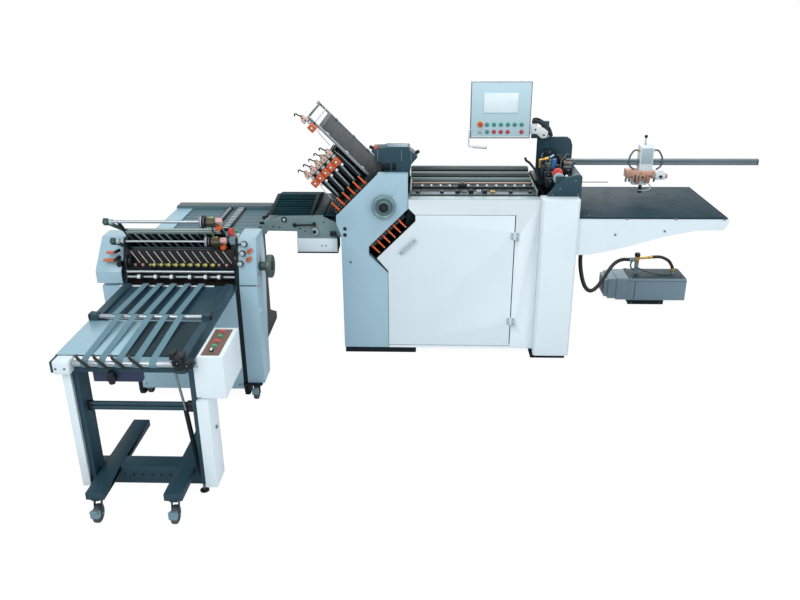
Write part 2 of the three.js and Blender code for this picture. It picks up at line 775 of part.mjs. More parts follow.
function foldRoller(number) {
  const x = rollerX - rollerStep * number;
  const z = rollerZ - rollerStep * number;
  const inner = frameInnerFrontY + 2 * gap;
  const outer = frameInnerRearY - gap;
  const journal = framePlate * 0.9;
  const start = number === 0 ? [[0, inner]] : [[0, inner - journal], [journalRadius, inner - journal],
    [journalRadius, inner]];
  const profile = [...start, [rollerRadius, inner], [rollerRadius, outer], [journalRadius, outer],
    [journalRadius, outer + journal], [0, outer + journal]];
  return turned('y', profile, x, 0, z, roundSides);
}
add('fold_roller_1', foldRoller(0), steelGrey());
add('fold_roller_2', foldRoller(1), frameBlack());

// Fold plates above the head: one long plate and five short ones in a shared seat
const plateRail = 14;
const plateSheet = 6;
const plateFootAlong = 1000;
const rollerAcross = (rollerX + rollerZ) / root2;
const plateStandoff = 54.256;
const longPlateAcross = rollerAcross + plateStandoff;
const longPlateEndAlong = 1588;
const longPlateOpening = 98;
const longSheetEndAlong = longPlateEndAlong - longPlateOpening;
const shortPlateEndAlong = 1335;
const shortPlates = 5;
const plateFrontY = frameInnerFrontY + gap;
const plateRearY = frameInnerRearY - gap;
const longStopOverhang = 30;
const shortStopOverhang = 42;
const stopLength = 50;
const stopPitch = 72;
const counterLength = 43;
const stopReach = 45;
const stopSpine = 24;
const stopBlockFront = 34;

function foldPlate(across, railEnd, sheetEnd, overhang) {
  const half = plateRail / 2;
  const rail = (y) => slantBlock('y', plateFootAlong, railEnd, across - half, across + half, y,
    y + plateRail);
  const endBar = slantBlock('y', railEnd - plateRail, railEnd, across - half, across + half,
    plateFrontY, plateRearY);
  const sheet = slantBlock('y', plateFootAlong, sheetEnd, across - plateSheet / 2, across + plateSheet / 2,
    plateFrontY, plateRearY);
  const face = across - half / 2;
  const stopFrontY = plateFrontY - stopBlockFront;
  const stopBackY = plateFrontY - gap;
  const stopEnd = railEnd + overhang;
  const counterEnd = stopEnd - stopPitch;
  const counterLow = counterEnd - counterLength;
  const stops = join(
    slantBlock('y', stopEnd - stopLength, stopEnd, across - stopReach, face, stopFrontY, stopBackY),
    slantBlock('y', counterLow, counterEnd, across - stopReach, face, stopFrontY, stopBackY),
    slantBlock('y', counterLow, railEnd, across - stopSpine, face, stopBackY - overrun,
      plateFrontY + plateRail),
  );
  return join(rail(plateFrontY), rail(plateRearY - plateRail), endBar, sheet, stops);
}
add('long_fold_plate', foldPlate(longPlateAcross, longPlateEndAlong, longSheetEndAlong,
  longStopOverhang), slateDark());

function shortFoldPlates() {
  const plates = [];
  for (let i = 1; i <= shortPlates; i += 1) {
    plates.push(foldPlate(longPlateAcross - headPitch * i, shortPlateEndAlong, shortPlateEndAlong,
      shortStopOverhang));
  }
  const high = longPlateAcross - headPitch + plateRail / 2;
  const low = longPlateAcross - headPitch * shortPlates - plateRail / 2;
  const seat = (y) => slantBlock('y', plateFootAlong, plateFootAlong + plateRail, low, high, y,
    y + plateRail);
  return join(...plates, seat(plateFrontY), seat(plateRearY - plateRail));
}
add('short_fold_plates', shortFoldPlates(), frameBlack());

// Fold plates below the head, held as a cassette inside the cabinet
const lowerPlateAcross = 564;
const lowerPlateEndAlong = 330;
const lowerPlateStartAlong = 738;
const lowerPlates = 6;

function lowerFoldPlates() {
  const sheets = [];
  for (let i = 0; i < lowerPlates; i += 1) {
    const across = lowerPlateAcross - headPitch * i;
    sheets.push(slantBlock('y', lowerPlateEndAlong, lowerPlateStartAlong, across - plateSheet / 2,
      across + plateSheet / 2, plateFrontY, plateRearY));
  }
  const high = lowerPlateAcross + plateRail;
  const low = lowerPlateAcross - headPitch * (lowerPlates - 1) - plateRail;
  const cheek = (y) => slantBlock('y', lowerPlateEndAlong + plateRail, lowerPlateStartAlong, low, high,
    y, y + plateRail);
  return join(...sheets, cheek(plateFrontY), cheek(plateRearY - plateRail));
}
add('lower_fold_plates', lowerFoldPlates(), steelGrey());

// Orange levers in front of the plates, six above and six in the slot below
const leverCount = 6;
const upperLeverAcross = 553;
const lowerLeverAcross = 531;
const upperLeverAlong = 1072;
const lowerLeverAlong = 761;
const leverReach = 60;
const leverHalf = 5;
const leverTipHalf = 3.5;
const leverHub = 9;
const leverFrontY = 3;
const leverBackY = 12;

function foldLever(pivotAlong, across, direction) {
  const tip = pivotAlong + direction * leverReach;
  const bar = [
    [pivotAlong, across - leverHalf], [tip, across - leverTipHalf],
    [tip, across + leverTipHalf], [pivotAlong, across + leverHalf],
  ];
  const [x, z] = slant([pivotAlong, across]);
  const seatY = frameFrontY - rackDepth - gap;
  return join(
    prism('y', bar.map(slant), leverFrontY, leverBackY),
    rod('y', leverFrontY - gap, seatY, x, z, leverHub, smallTurn),
  );
}

for (let i = 0; i < leverCount; i += 1) {
  const above = foldLever(upperLeverAlong, upperLeverAcross - headPitch * i, 1);
  const below = foldLever(lowerLeverAlong, lowerLeverAcross - headPitch * i, -1);
  add(`upper_lever_${i + 1}`, above, leverOrange());
  add(`lower_lever_${i + 1}`, below, leverOrange());
}

// Vacuum pump on the floor behind the feeder
const pumpX0 = 1525;
const pumpX1 = 1952;
const pumpY0 = 865;
const pumpY1 = 1110;
const pumpLowZ = 40;
const pumpHighZ = 208;
const pumpBevel = 14;
const pumpNoseX = 1352;
const shoulderShare = 0.98;
const noseShare = 0.9;
const capShare = 0.78;
const pumpCap = 26;
const pumpSkid = 255;
const regulatorX = 1600;
const regulatorY = 990;
const regulatorRadius = 16;
const regulatorHighZ = 345;
const elbowZ = 320;
const elbowX = 1540;
const outletX = 1874;
const outletHighZ = 240;

function pumpBody() {
  const side = [
    [pumpY0, pumpLowZ], [pumpY1, pumpLowZ], [pumpY1, pumpHighZ - pumpBevel],
    [pumpY1 - pumpBevel, pumpHighZ], [pumpY0 + pumpBevel, pumpHighZ], [pumpY0, pumpHighZ - pumpBevel],
  ];
  const middleX = (pumpNoseX + pumpX0) / 2;
  const skidX = pumpX0 + pumpBevel;
  return join(
    prism('x', side, pumpX0, pumpX1),
    prism('x', shrunk(side, shoulderShare), middleX, pumpX0 + overrun),
    prism('x', shrunk(side, noseShare), pumpNoseX + pumpCap, middleX + overrun),
    prism('x', shrunk(side, capShare), pumpNoseX, pumpNoseX + pumpCap + overrun),
    block(skidX, skidX + pumpSkid, pumpY0 + pumpBevel, pumpY1 - pumpBevel, 0, pumpLowZ + overrun),
    rod('z', pumpHighZ - overrun, regulatorHighZ, regulatorX, regulatorY, regulatorRadius, smallTurn),
    rod('x', elbowX, regulatorX, regulatorY, elbowZ, regulatorRadius, smallTurn),
    rod('z', pumpHighZ - overrun, outletHighZ, outletX, regulatorY, regulatorRadius, smallTurn),
  );
}
add('pump_body', pumpBody(), finish(0x8d989c, 0.45, 0.4));

// Suction hose from the port under the feeder to the pump, hanging between its two ends
const hosePoints = [
  [1019, 250, 617.7], [1019, 250, 600], [1019, 250, 582], [1026, 261, 530], [1042, 288, 465],
  [1065, 326, 398], [1096, 375, 335], [1138, 440, 285], [1185, 520, 258], [1240, 620, 252],
  [1300, 730, 266], [1358, 835, 290], [1412, 920, 308], [1458, 968, 317], [1498, 990, 320],
  [1520, 990, 320], [1539.7, 990, 320],
];
const hoseRadius = 13;
const hoseSteps = 30;
const hoseSides = 10;

function suctionHose() {
  const curve = new THREE.CatmullRomCurve3(hosePoints.map((point) => new THREE.Vector3(...point)),
    false, 'centripetal');
  const ring = new THREE.Shape();
  ring.absarc(0, 0, hoseRadius, 0, Math.PI * 2, false);
  const settings = { steps: hoseSteps, curveSegments: hoseSides, bevelEnabled: false, extrudePath: curve };
  return new THREE.ExtrudeGeometry(ring, settings);
}

const hose = new THREE.Mesh(suctionHose(), frameBlack());
hose.name = 'suction_hose';
group.add(hose);

// Bridge that carries the sheet from the main unit to the right-angle unit, which docks against it
const unit2LeftX = -1690;
const unit2RightX = -1035;
const unit2FrontY = -600;
const bridgeLeftX = -1048;
const bridgeRightX = -480;
const bridgeLowZ = 779;
const bridgeTopZ = 925;
const bridgePlate = 12;
const bridgeBedZ = 850;
const bridgeShares = [[0, 0.6], [0.06, 0.7], [0.235, 0.97], [0.68, 1], [0.853, 0.68], [1, 0.55], [1, 0.02],
  [0.416, 0], [0.416, 0.28], [0.235, 0.29], [0.035, 0.3]];
const bridgeStripX0 = -700;
const bridgeStripX1 = -640;
const bridgeStrip = 8;
const knuckleRadius = 6;
const knuckleSpan = 60;
const knuckleShares = [0.1, 0.6];
const lidLeftX = -985;
const lidRightX = -703;
const dockBar = 26;
const dockBarLowZ = 800;
const bridgeBoxX0 = -812;
const bridgeBoxX1 = -556;
const bridgeBoxZ0 = 680;

const lidFrontY = frameInnerFrontY + gap;
const lidRearY = frameInnerRearY - gap;
const lidBottomZ = bridgeTopZ + gap;
const lidHingeY = lidRearY + knuckleRadius + gap;
const lidKnuckles = knuckleShares.map((share) => lidLeftX + (lidRightX - lidLeftX) * share);

// One half of a hinge on the bridge's rear edge: a round knuckle and the web that holds it
function knuckle(x, webLow, webHigh) {
  return join(
    rod('x', x, x + knuckleSpan, lidHingeY, lidBottomZ, knuckleRadius),
    block(x, x + knuckleSpan, lidRearY - knuckleRadius, lidHingeY, webLow, webHigh),
  );
}

function bridgeFrame() {
  const side = spread(bridgeShares, bridgeLeftX, bridgeRightX, bridgeLowZ, bridgeTopZ);
  const y0 = lidFrontY;
  const y1 = lidRearY;
  const knuckles = lidKnuckles.map((x) => knuckle(x + knuckleSpan + gap, bridgeTopZ - knuckleRadius,
    bridgeTopZ));
  return join(
    prism('y', side, y0, y0 + bridgePlate),
    prism('y', side, y1 - bridgePlate, y1),
    block(bridgeLeftX + bridgePlate * 3, coverLeftX - frameInset, y0, y1, bridgeBedZ,
      bridgeBedZ + bridgePlate),
    block(bridgeBoxX0, bridgeBoxX1, y0, y0 + bridgePlate * 12, bridgeBoxZ0, bridgeLowZ + overrun),
    block(bridgeStripX0, bridgeStripX1, y0, y1, bridgeTopZ - bridgeStrip, bridgeTopZ),
    block(unit2RightX + gap, unit2RightX + dockBar, y0, y1, dockBarLowZ, bridgeBedZ + bridgePlate),
    ...knuckles,
  );
}
add('bridge_frame', bridgeFrame(), finish(0x8a9496, 0.45, 0.4));

// Louvred cover of the bridge, hinged along its rear edge
const lidWall = 4;
const lidRise = 44;
const lidRibs = 9;
const lidRib = 7;
const lidRear = 9;
const lidCrestShare = 0.62;

function bridgeCover() {
  const crestY = lidFrontY + (lidRearY - lidFrontY) * lidCrestShare;
  const side = [
    [lidFrontY, lidBottomZ], [lidRearY, lidBottomZ], [lidRearY, lidBottomZ + lidRear],
    [crestY, lidBottomZ + lidRise], [lidFrontY, lidBottomZ + lidWall],
  ];
  const rib = (share) => {
    const y = lidFrontY + (crestY - lidFrontY) * share;
    const z = lidBottomZ + lidWall + (lidRise - lidWall) * share;
    return block(lidLeftX + lidWall, lidRightX - lidWall, y, y + lidRib, z - lidWall, z + lidRib);
  };
  const ribs = [];
  for (let i = 0; i < lidRibs; i += 1) ribs.push(rib((i + 0.5) / lidRibs));
  const knuckles = lidKnuckles.map((x) => knuckle(x, lidBottomZ, lidBottomZ + knuckleRadius));
  return join(prism('x', side, lidLeftX, lidRightX), ...ribs, ...knuckles);
}
add('bridge_cover', bridgeCover(), finish(0x1d3b42, 0.5, 0.1));

// Casters: a forked block on a carrier, and a wheel on the fork's pin
const casterHeight = 100;
const casterRadius = 44;
const casterWidth = 28;
const casterPin = 5;
const casterCheek = 4;
const casterPlate = 8;
const casterTrail = 23;

function casterFork(x, y, top) {
  const inner = casterWidth / 2 + gap;
  const outer = inner + casterCheek;
  const low = casterRadius - casterPin * 2;
  const half = casterPin * 2;
  const seat = y + casterTrail;
  const reach = casterRadius * 0.7;
  const side = [[y - half, low], [y + half, low], [seat + half, top], [seat - half, top]];
  const cheek = (a, b) => prism('x', side, a, b);
  return join(
    block(x - outer, x + outer, seat - reach, seat + reach, top - casterPlate, top),
    cheek(x - outer, x - inner),
    cheek(x + inner, x + outer),
    rod('x', x - outer + gap, x + outer - gap, y, casterRadius, casterPin),
  );
}

function casterWheel(x, y) {
  const half = casterWidth / 2;
  const bevel = casterWidth / 6;
  const bore = casterPin + gap;
  const profile = [
    [bore, -half], [casterRadius - bevel, -half], [casterRadius, -half + bevel],
    [casterRadius, half - bevel], [casterRadius - bevel, half], [bore, half], [bore, -half],
  ];
  return turned('x', profile, x, y, casterRadius, smallTurn);
}

// Right-angle unit: side plates on a pan, four casters, covers, table, plates and drive
const unit2Plate = 25;
const unit2RearY = 560;
const unit2SideRearY = 160;
const unit2FootY = 350;
const unit2ToeZ = 8;
const unit2LowZ = casterHeight;
const unit2PanZ = 12;
const unit2TopZ = 825;
const unit2HeadZ = 960;
const unit2PanelLowZ = 62;
const unit2PanelHighZ = 700;
const unit2Tie = 60;
const unit2TableFrontY = -280;
const unit2ShaftY = -510;
const unit2ShaftZ = 800;
const unit2ShaftRadius = 15;
const outriggerX = -950;
const outriggerDepth = 80;
const outriggerRise = 3;
const casterInnerLeftX = -1640;
const casterInnerFrontY = -535;
const casterOuterX = -988;
const casterFrontY = -600;
const casterRearLeftX = -1610;
const casterRearRightX = -1115;
const casterRearY = 300;
const unit2SideShares = [[0, 0.0389], [0.0126, 0.0084], [0.0421, 0], [0.1053, 0], [0.1895, 0.0966],
  [1, 0.0966], [1, 0.1492], [0.8, 0.249], [0.8, 0.8582], [0.3368, 0.8582], [0.2832, 0.9149], [0.1895, 1],
  [0.1042, 1], [0, 0.7468]];

const unit2WheelPlaces = [
  [casterInnerLeftX, casterInnerFrontY], [casterOuterX, casterFrontY],
  [casterRearLeftX, casterRearY], [casterRearRightX, casterRearY],
];

function unit2Frame() {
  const side = spread(unit2SideShares, unit2FrontY, unit2FootY, unit2ToeZ, unit2HeadZ);
  const rise = unit2LowZ + unit2PanZ;
  const innerLeft = unit2LeftX + unit2Plate;
  const innerRight = unit2RightX - unit2Plate;
  const outriggerY = casterFrontY + casterTrail - outriggerDepth / 2;
  const forks = unit2WheelPlaces.map(([x, y]) => casterFork(x, y, unit2LowZ + gap));
  const body = join(
    prism('x', side, unit2LeftX, innerLeft),
    prism('x', side, innerRight, unit2RightX),
    block(unit2LeftX, unit2RightX, unit2FrontY, unit2FootY, unit2LowZ, rise),
    block(unit2LeftX, unit2RightX, unit2FrontY, unit2FrontY + unit2PanZ, unit2PanelLowZ, unit2PanelHighZ),
    block(unit2LeftX, unit2RightX, unit2SideRearY - unit2Tie, unit2SideRearY, unit2TopZ - 2 * unit2Tie,
      unit2TopZ - unit2Tie),
    block(innerRight, outriggerX, outriggerY, outriggerY + outriggerDepth, unit2LowZ - casterPlate,
      unit2LowZ + outriggerRise),
    ...forks,
  );
  const bore = rod('x', unit2LeftX - overrun, unit2RightX + overrun, unit2ShaftY, unit2ShaftZ,
    unit2ShaftRadius + gap, smallTurn);
  return cut(body, bore);
}
add('unit2_frame', unit2Frame(), slateDark());

const rightCoverX = -935;
const sideCoverFrontY = -605;
const rightCoverShares = [[0, 0], [0.63, 0], [0.725, 0.3], [1, 0.823], [0.924, 0.998], [0.229, 1], [0, 0.69]];
const rightCoverRearY = -343;
const sideCoverLowZ = 104;
const sideCoverTopZ = 977;

function unit2RightCover() {
  const side = spread(rightCoverShares, sideCoverFrontY, rightCoverRearY, sideCoverLowZ, sideCoverTopZ);
  const shell = pan('x', side, rightCoverX, unit2RightX + gap, coverWall);
  const bore = rod('x', unit2RightX - overrun, rightCoverX + overrun, unit2ShaftY, unit2ShaftZ,
    unit2ShaftRadius + coverWall, smallTurn);
  return cut(shell, bore);
}
add('unit2_right_cover', unit2RightCover(), coverBlue());

const leftCoverX = -1835;
const leftCoverRearY = -330;
const leftCoverLowZ = 727;
const leftCoverTopZ = 952;
const leftColumnX = -1816;
const leftColumnFrontY = -590;
const leftColumnRearY = -450;
const leftColumnTopZ = 707;
const neckInset = 24;
const leftCoverShares = [[0, 0], [1, 0], [1, 1], [0.578, 1], [0.04, 0.37], [0, 0.3]];

function unit2LeftCover() {
  const side = spread(leftCoverShares, sideCoverFrontY, leftCoverRearY, leftCoverLowZ, leftCoverTopZ);
  const seat = unit2LeftX - gap;
  const shell = cut(
    prism('x', side, leftCoverX, seat),
    prism('x', inset(side, coverWall), leftCoverX + coverWall, seat + overrun),
  );
  const column = cut(
    block(leftColumnX, seat, leftColumnFrontY, leftColumnRearY, sideCoverLowZ, leftColumnTopZ),
    block(leftColumnX + coverWall, seat + overrun, leftColumnFrontY + coverWall,
      leftColumnRearY - coverWall, sideCoverLowZ + coverWall, leftColumnTopZ - coverWall),
  );
  const neck = block(leftColumnX + neckInset, seat, leftColumnFrontY + neckInset, leftColumnRearY - neckInset,
    leftColumnTopZ - coverWall, leftCoverLowZ + coverWall);
  return join(shell, column, neck);
}
add('unit2_left_cover', unit2LeftCover(), coverBlue());

const unit2TableZ = 850;
const unit2StripX = -1577;
const unit2BeamDepth = 100;
const unit2BeamRise = 22;
const unit2StripRise = 6;
const unit2Grooves = 9;
const unit2Groove = 6;

function unit2RegisterTable() {
  const low = unit2TopZ + gap;
  const right = unit2RightX - unit2Plate / 2;
  const plate = block(unit2LeftX, right, unit2TableFrontY, unit2RearY, low, unit2TableZ);
  const strip = block(unit2LeftX, unit2StripX, unit2TableFrontY, unit2RearY, unit2TableZ - overrun,
    unit2TableZ + unit2StripRise);
  const beam = block(unit2LeftX, right, unit2RearY - unit2BeamDepth, unit2RearY, unit2TableZ - overrun,
    unit2TableZ + unit2BeamRise);
  const pitch = (unit2RearY - unit2BeamDepth - unit2TableFrontY) / (unit2Grooves + 1);
  const grooves = [];
  for (let i = 1; i <= unit2Grooves; i += 1) {
    const y = unit2TableFrontY + pitch * i;
    grooves.push(block(unit2StripX, unit2RightX, y, y + unit2Groove, unit2TableZ - unit2Groove,
      unit2TableZ + overrun));
  }
  return join(cut(plate, ...grooves), strip, beam);
}
add('unit2_register_table', unit2RegisterTable(), steelGrey());

const unit2PlateRightX = -1110;
const unit2PlateFoot = 900;
const unit2PlateAcross = 330;
const unit2PlatePitch = 52;
const unit2FirstTip = 1221;
const unit2SecondTip = 1091;
const unit2FirstBeam = 1083;
const unit2SecondBeam = 935;
const unit2FirstWidth = 32;
const unit2SecondWidth = 58;
const unit2RodRadius = 7;
const unit2TipBlock = 30;
const unit2TipWidth = 40;
const unit2TipLeftX = -1738;

function unit2FoldPlates() {
  const left = unit2LeftX + unit2Plate + gap;
  const half = plateRail / 2;
  const arm = (across, tip, x) => slantBlock('x', unit2PlateFoot, tip, across - half, across + half, x,
    x + plateRail);
  const plate = (across, tip, beam, width) => {
    const [rodY, rodZ] = slant([tip - half, across]);
    return join(
      arm(across, tip, left),
      arm(across, beam + width, unit2PlateRightX - plateRail),
      slantBlock('x', unit2PlateFoot, beam + width, across - plateSheet / 2, across + plateSheet / 2,
        left, unit2PlateRightX),
      slantBlock('x', beam, beam + width, across - half, across + plateRail, left, unit2PlateRightX),
      rod('x', unit2TipLeftX + plateRail, unit2PlateRightX, rodY, rodZ, unit2RodRadius),
      slantBlock('x', tip - unit2TipBlock, tip + half, across - plateRail, across + plateRail,
        unit2TipLeftX, unit2TipLeftX + unit2TipWidth),
    );
  };
  const second = unit2PlateAcross - unit2PlatePitch;
  const carrier = slantBlock('x', unit2PlateFoot, unit2PlateFoot + plateRail, second - half,
    unit2PlateAcross + half, left, unit2RightX - unit2Plate - gap);
  return join(
    plate(unit2PlateAcross, unit2FirstTip, unit2FirstBeam, unit2FirstWidth),
    plate(second, unit2SecondTip, unit2SecondBeam, unit2SecondWidth),
    carrier,
  );
}
add('unit2_fold_plates', unit2FoldPlates(), slateDark());

const unit2WheelRadius = 66;
const unit2WheelX0 = -892;
const unit2WheelX1 = -856;
const unit2WheelRim = 22;
const unit2WheelHub = 26;
const unit2WheelDish = 16;
const unit2RollerRadius = 24;

function unit2Handwheel() {
  const rollerEnd = unit2RightX - unit2Plate - gap;
  const rollerStart = unit2LeftX + unit2Plate + gap;
  const journalEnd = unit2LeftX + unit2Plate / 4;
  const outer = handwheelProfile(unit2WheelRadius, unit2WheelRim, unit2WheelHub, unit2WheelDish,
    -unit2WheelX1, -unit2WheelX0, unit2ShaftRadius, -rollerEnd).slice(0, -1);
  const profile = [
    ...outer,
    [unit2RollerRadius, -rollerEnd], [unit2RollerRadius, -rollerStart],
    [unit2ShaftRadius, -rollerStart], [unit2ShaftRadius, -journalEnd], [0, -journalEnd],
  ];
  const mirrored = profile.map(([radius, station]) => [radius, -station]).reverse();
  return turned('x', mirrored, 0, unit2ShaftY, unit2ShaftZ, roundSides);
}
add('unit2_handwheel', unit2Handwheel(), finish(0x8f9a9b, 0.35, 0.6));

unit2WheelPlaces.forEach(([x, y], i) => {
  add(`unit2_wheel_${i + 1}`, casterWheel(x, y), frameBlack());
});

// Delivery stand: an H-shaped base on casters, posts with white covers, a tape table
const footLeftX0 = -1528;
const footRightX0 = -1171;
const footWidth = 84;
const footFrontY = -1748;
const footRearY = -1112;
const footLowZ = 122;
const footHighZ = 157;
const crossbarFrontY = -1530;
const crossbarRearY = -1445;
const crossbarLowZ = 60;
const postLeftX = -1566;
const postRightX = -1019;
const postWidth = 24;
const postFrontY = -1588;
const postRearY = -1484;
const postLowZ = 100;
const standTopZ = 690;
const tieTubeRadius = 11;
const tieTubeLowZ = 480.5;
const tieTubeHighZ = 502.5;
const standCasterFrontY = -1740;
const standCasterRearY = -1380;
const boltRadius = 5;

const standWheelPlaces = [
  [footLeftX0 + footWidth / 2, standCasterFrontY], [footRightX0 + footWidth / 2, standCasterFrontY],
  [footLeftX0 + footWidth / 2, standCasterRearY], [footRightX0 + footWidth / 2, standCasterRearY],
];

function standBase() {
  const foot = (x) => block(x, x + footWidth, footFrontY, footRearY, footLowZ, footHighZ);
  const post = (x) => block(x, x + postWidth, postFrontY, postRearY, postLowZ, standTopZ);
  const tube = (z) => rod('x', postLeftX + overrun, postRightX - overrun, (postFrontY + postRearY) / 2, z,
    tieTubeRadius);
  const forks = standWheelPlaces.map(([x, y]) => casterFork(x, y, footLowZ + gap));
  return join(
    foot(footLeftX0),
    foot(footRightX0),
    block(postLeftX, postRightX, crossbarFrontY, crossbarRearY, crossbarLowZ, footHighZ - gap),
    post(postLeftX),
    post(postRightX - postWidth),
    tube(tieTubeLowZ),
    tube(tieTubeHighZ),
    ...forks,
  );
}
add('stand_base', standBase(), slateDark());

const legLeftX = -1604;
const legRightX = -964;
const legFrontY = -1606;
const legRearY = -1468;
const legLowZ = 95;
const legLeftTopZ = 688;
const legRightTopZ = 556;

function legCover(x0, x1, open, top) {
  const wallX0 = open < x0 + coverWall ? x0 - overrun : x0 + coverWall;
  const wallX1 = open < x0 + coverWall ? x1 - coverWall : x1 + overrun;
  return cut(
    block(x0, x1, legFrontY, legRearY, legLowZ, top),
    block(wallX0, wallX1, legFrontY + coverWall, legRearY - coverWall, legLowZ + coverWall, top - coverWall),
  );
}
add('stand_left_leg', legCover(legLeftX, postLeftX - gap, postLeftX, legLeftTopZ), cabinetWhite());
add('stand_right_leg', legCover(postRightX + gap, legRightX, postRightX, legRightTopZ), cabinetWhite());

// Table of the stand: side rails, a plate under each set of tapes, and the cross tie
const railLeftOuterX = -1642;
const railLeftInnerX = -1600;
const railRightInnerX = -1084;
const railRightOuterX = -1045;
const deliveryFrontY = -1622;
const deliveryRearY = -700;
const railLowZ = 702;
const railHighZ = 764;
const deliveryPlateZ = 752;
const deliveryPlate = 6;
const standTie = 46;
const frontRollerY = -1600;
const frontRollerZ = 738;
const frontRollerRadius = 14;
const midRollerY = -1160;
const midRollerZ = 770;
const midRollerRadius = 12;
const midCheekZ = 788;
const upperPlateDrop = 10;
const dockHighZ = 716;
const dockDepth = 24;
const dockInset = 10;

function standTable() {
  const cheekFrontY = midRollerY - standTie / 2;
  const rail = (x0, x1, frontZ) => join(
    block(x0, x1, deliveryFrontY, cheekFrontY + overrun, railLowZ, frontZ),
    block(x0, x1, cheekFrontY, deliveryRearY, railLowZ, railHighZ),
    block(x0, x1, cheekFrontY, midRollerY + standTie / 2, railHighZ - overrun, midCheekZ),
  );
  const dock = (x0, x1, y) => block(x0, x1, y, unit2FrontY - gap, railLowZ, dockHighZ);
  const frontPlateY = frontRollerY + frontRollerRadius * 3;
  const midPlateY = midRollerY - midRollerRadius * 2;
  const rearPlateY = midRollerY + midRollerRadius * 2;
  const tieLow = standTopZ + gap;
  const tie = block(postLeftX, postRightX, postFrontY, postFrontY + standTie, tieLow, railLowZ + overrun);
  const body = join(
    rail(railLeftOuterX, railLeftInnerX, deliveryPlateZ + deliveryPlate / 2),
    rail(railRightInnerX, railRightOuterX, railHighZ),
    block(railLeftOuterX, railRightInnerX + overrun, frontPlateY, midPlateY, deliveryPlateZ,
      deliveryPlateZ + deliveryPlate),
    block(railLeftInnerX - overrun, railRightInnerX + overrun, rearPlateY, deliveryRearY,
      deliveryPlateZ - upperPlateDrop, deliveryPlateZ - upperPlateDrop + deliveryPlate),
    tie,
    dock(railLeftOuterX, railLeftInnerX, deliveryRearY - overrun),
    dock(railRightInnerX, railRightOuterX, deliveryRearY - overrun),
    dock(unit2LeftX + dockInset, railRightOuterX, unit2FrontY - dockDepth),
    block(railLeftOuterX, railRightOuterX, postFrontY, postFrontY + standTie, tieLow + overrun,
      railLowZ + overrun * 2),
  );
  const bore = (y, z) => rod('x', railLeftOuterX + overrun, railRightOuterX - overrun, y, z,
    boltRadius + gap);
  return cut(body, bore(frontRollerY, frontRollerZ), bore(midRollerY, midRollerZ));
}
add('stand_table', standTable(), finish(0x7f8f98, 0.4, 0.4));

function tapeRoller(y, z, radius) {
  const stub = (railLeftInnerX - railLeftOuterX) / 2;
  const start = railLeftInnerX + gap;
  const end = railRightInnerX - gap;
  const profile = [[0, start - stub], [boltRadius, start - stub], [boltRadius, start], [radius, start],
    [radius, end], [boltRadius, end], [boltRadius, end + stub], [0, end + stub]];
  return turned('x', profile, 0, y, z, smallTurn);
}
add('stand_front_roller', tapeRoller(frontRollerY, frontRollerZ, frontRollerRadius), steelGrey());
add('stand_mid_roller', tapeRoller(midRollerY, midRollerZ, midRollerRadius), steelGrey());

const controlBoxX0 = -1000;
const controlBoxX1 = -884;
const controlBoxFrontY = -1585;
const controlBoxRearY = -1275;
const controlBoxLowZ = 560;
const controlBoxHighZ = 768;
const controlBoxFlangeZ = 150;

function standControlBox() {
  const flangeLow = controlBoxLowZ + overrun;
  return join(
    block(controlBoxX0, controlBoxX1, controlBoxFrontY, controlBoxRearY, controlBoxLowZ, controlBoxHighZ),
    block(postRightX + gap, controlBoxX0 + overrun, postFrontY, postRearY, flangeLow,
      flangeLow + controlBoxFlangeZ),
  );
}
add('stand_control_box', standControlBox(), cabinetWhite());

standWheelPlaces.forEach(([x, y], i) => {
  add(`stand_wheel_${i + 1}`, casterWheel(x, y), frameBlack());
});

// The origin is the middle of the machine's footprint on the floor, without the hose
const extent = new THREE.Box3();
group.children.filter((mesh) => mesh !== hose).forEach((mesh) => extent.expandByObject(mesh));
const middle = extent.getCenter(new THREE.Vector3());
group.position.set(-middle.x, -middle.y, -extent.min.z);

export default group;
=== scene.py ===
"""Looks of the combination paper folding machine, built round its CAD frame.

Sizes inside the operators are the machine's own millimetres: the floor is z = 0, the main unit's
front face is y = 0, and x runs towards the feeder. Each finished piece is turned into metres in
the row frame when it is done.
"""

import math

import bmesh
import bpy
from bpy.props import FloatProperty, FloatVectorProperty, PointerProperty
from mathutils import Matrix, Vector


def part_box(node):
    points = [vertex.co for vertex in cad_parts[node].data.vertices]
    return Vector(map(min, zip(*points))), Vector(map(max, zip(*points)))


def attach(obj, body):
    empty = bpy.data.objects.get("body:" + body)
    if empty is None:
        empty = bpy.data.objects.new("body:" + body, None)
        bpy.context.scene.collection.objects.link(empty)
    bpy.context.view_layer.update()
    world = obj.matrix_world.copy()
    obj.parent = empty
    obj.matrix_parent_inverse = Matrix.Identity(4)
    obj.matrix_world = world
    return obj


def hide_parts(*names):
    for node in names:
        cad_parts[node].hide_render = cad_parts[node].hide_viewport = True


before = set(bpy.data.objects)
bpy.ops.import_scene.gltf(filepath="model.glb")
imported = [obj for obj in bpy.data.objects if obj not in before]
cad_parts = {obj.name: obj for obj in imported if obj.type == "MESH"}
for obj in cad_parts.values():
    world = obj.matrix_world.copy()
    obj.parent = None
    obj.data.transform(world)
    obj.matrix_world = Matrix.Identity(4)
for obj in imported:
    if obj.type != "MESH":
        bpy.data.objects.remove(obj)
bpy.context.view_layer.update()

bl_info = {
    "name": "Paper folding machine",
    "version": (1, 0, 0),
    "blender": (4, 5, 0),
    "location": "View3D > Sidebar > Folder",
    "description": "Builds the looks of a combination paper folding machine",
    "category": "Object",
}

# The machine's own millimetres meet the row frame at the rail's end and the pump's back
SHIFT = Vector((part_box("upper_rail")[1][0] * 1000 - 2122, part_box("pump_body")[1][1] * 1000 - 1110, 0))
ROOT2 = math.sqrt(2)

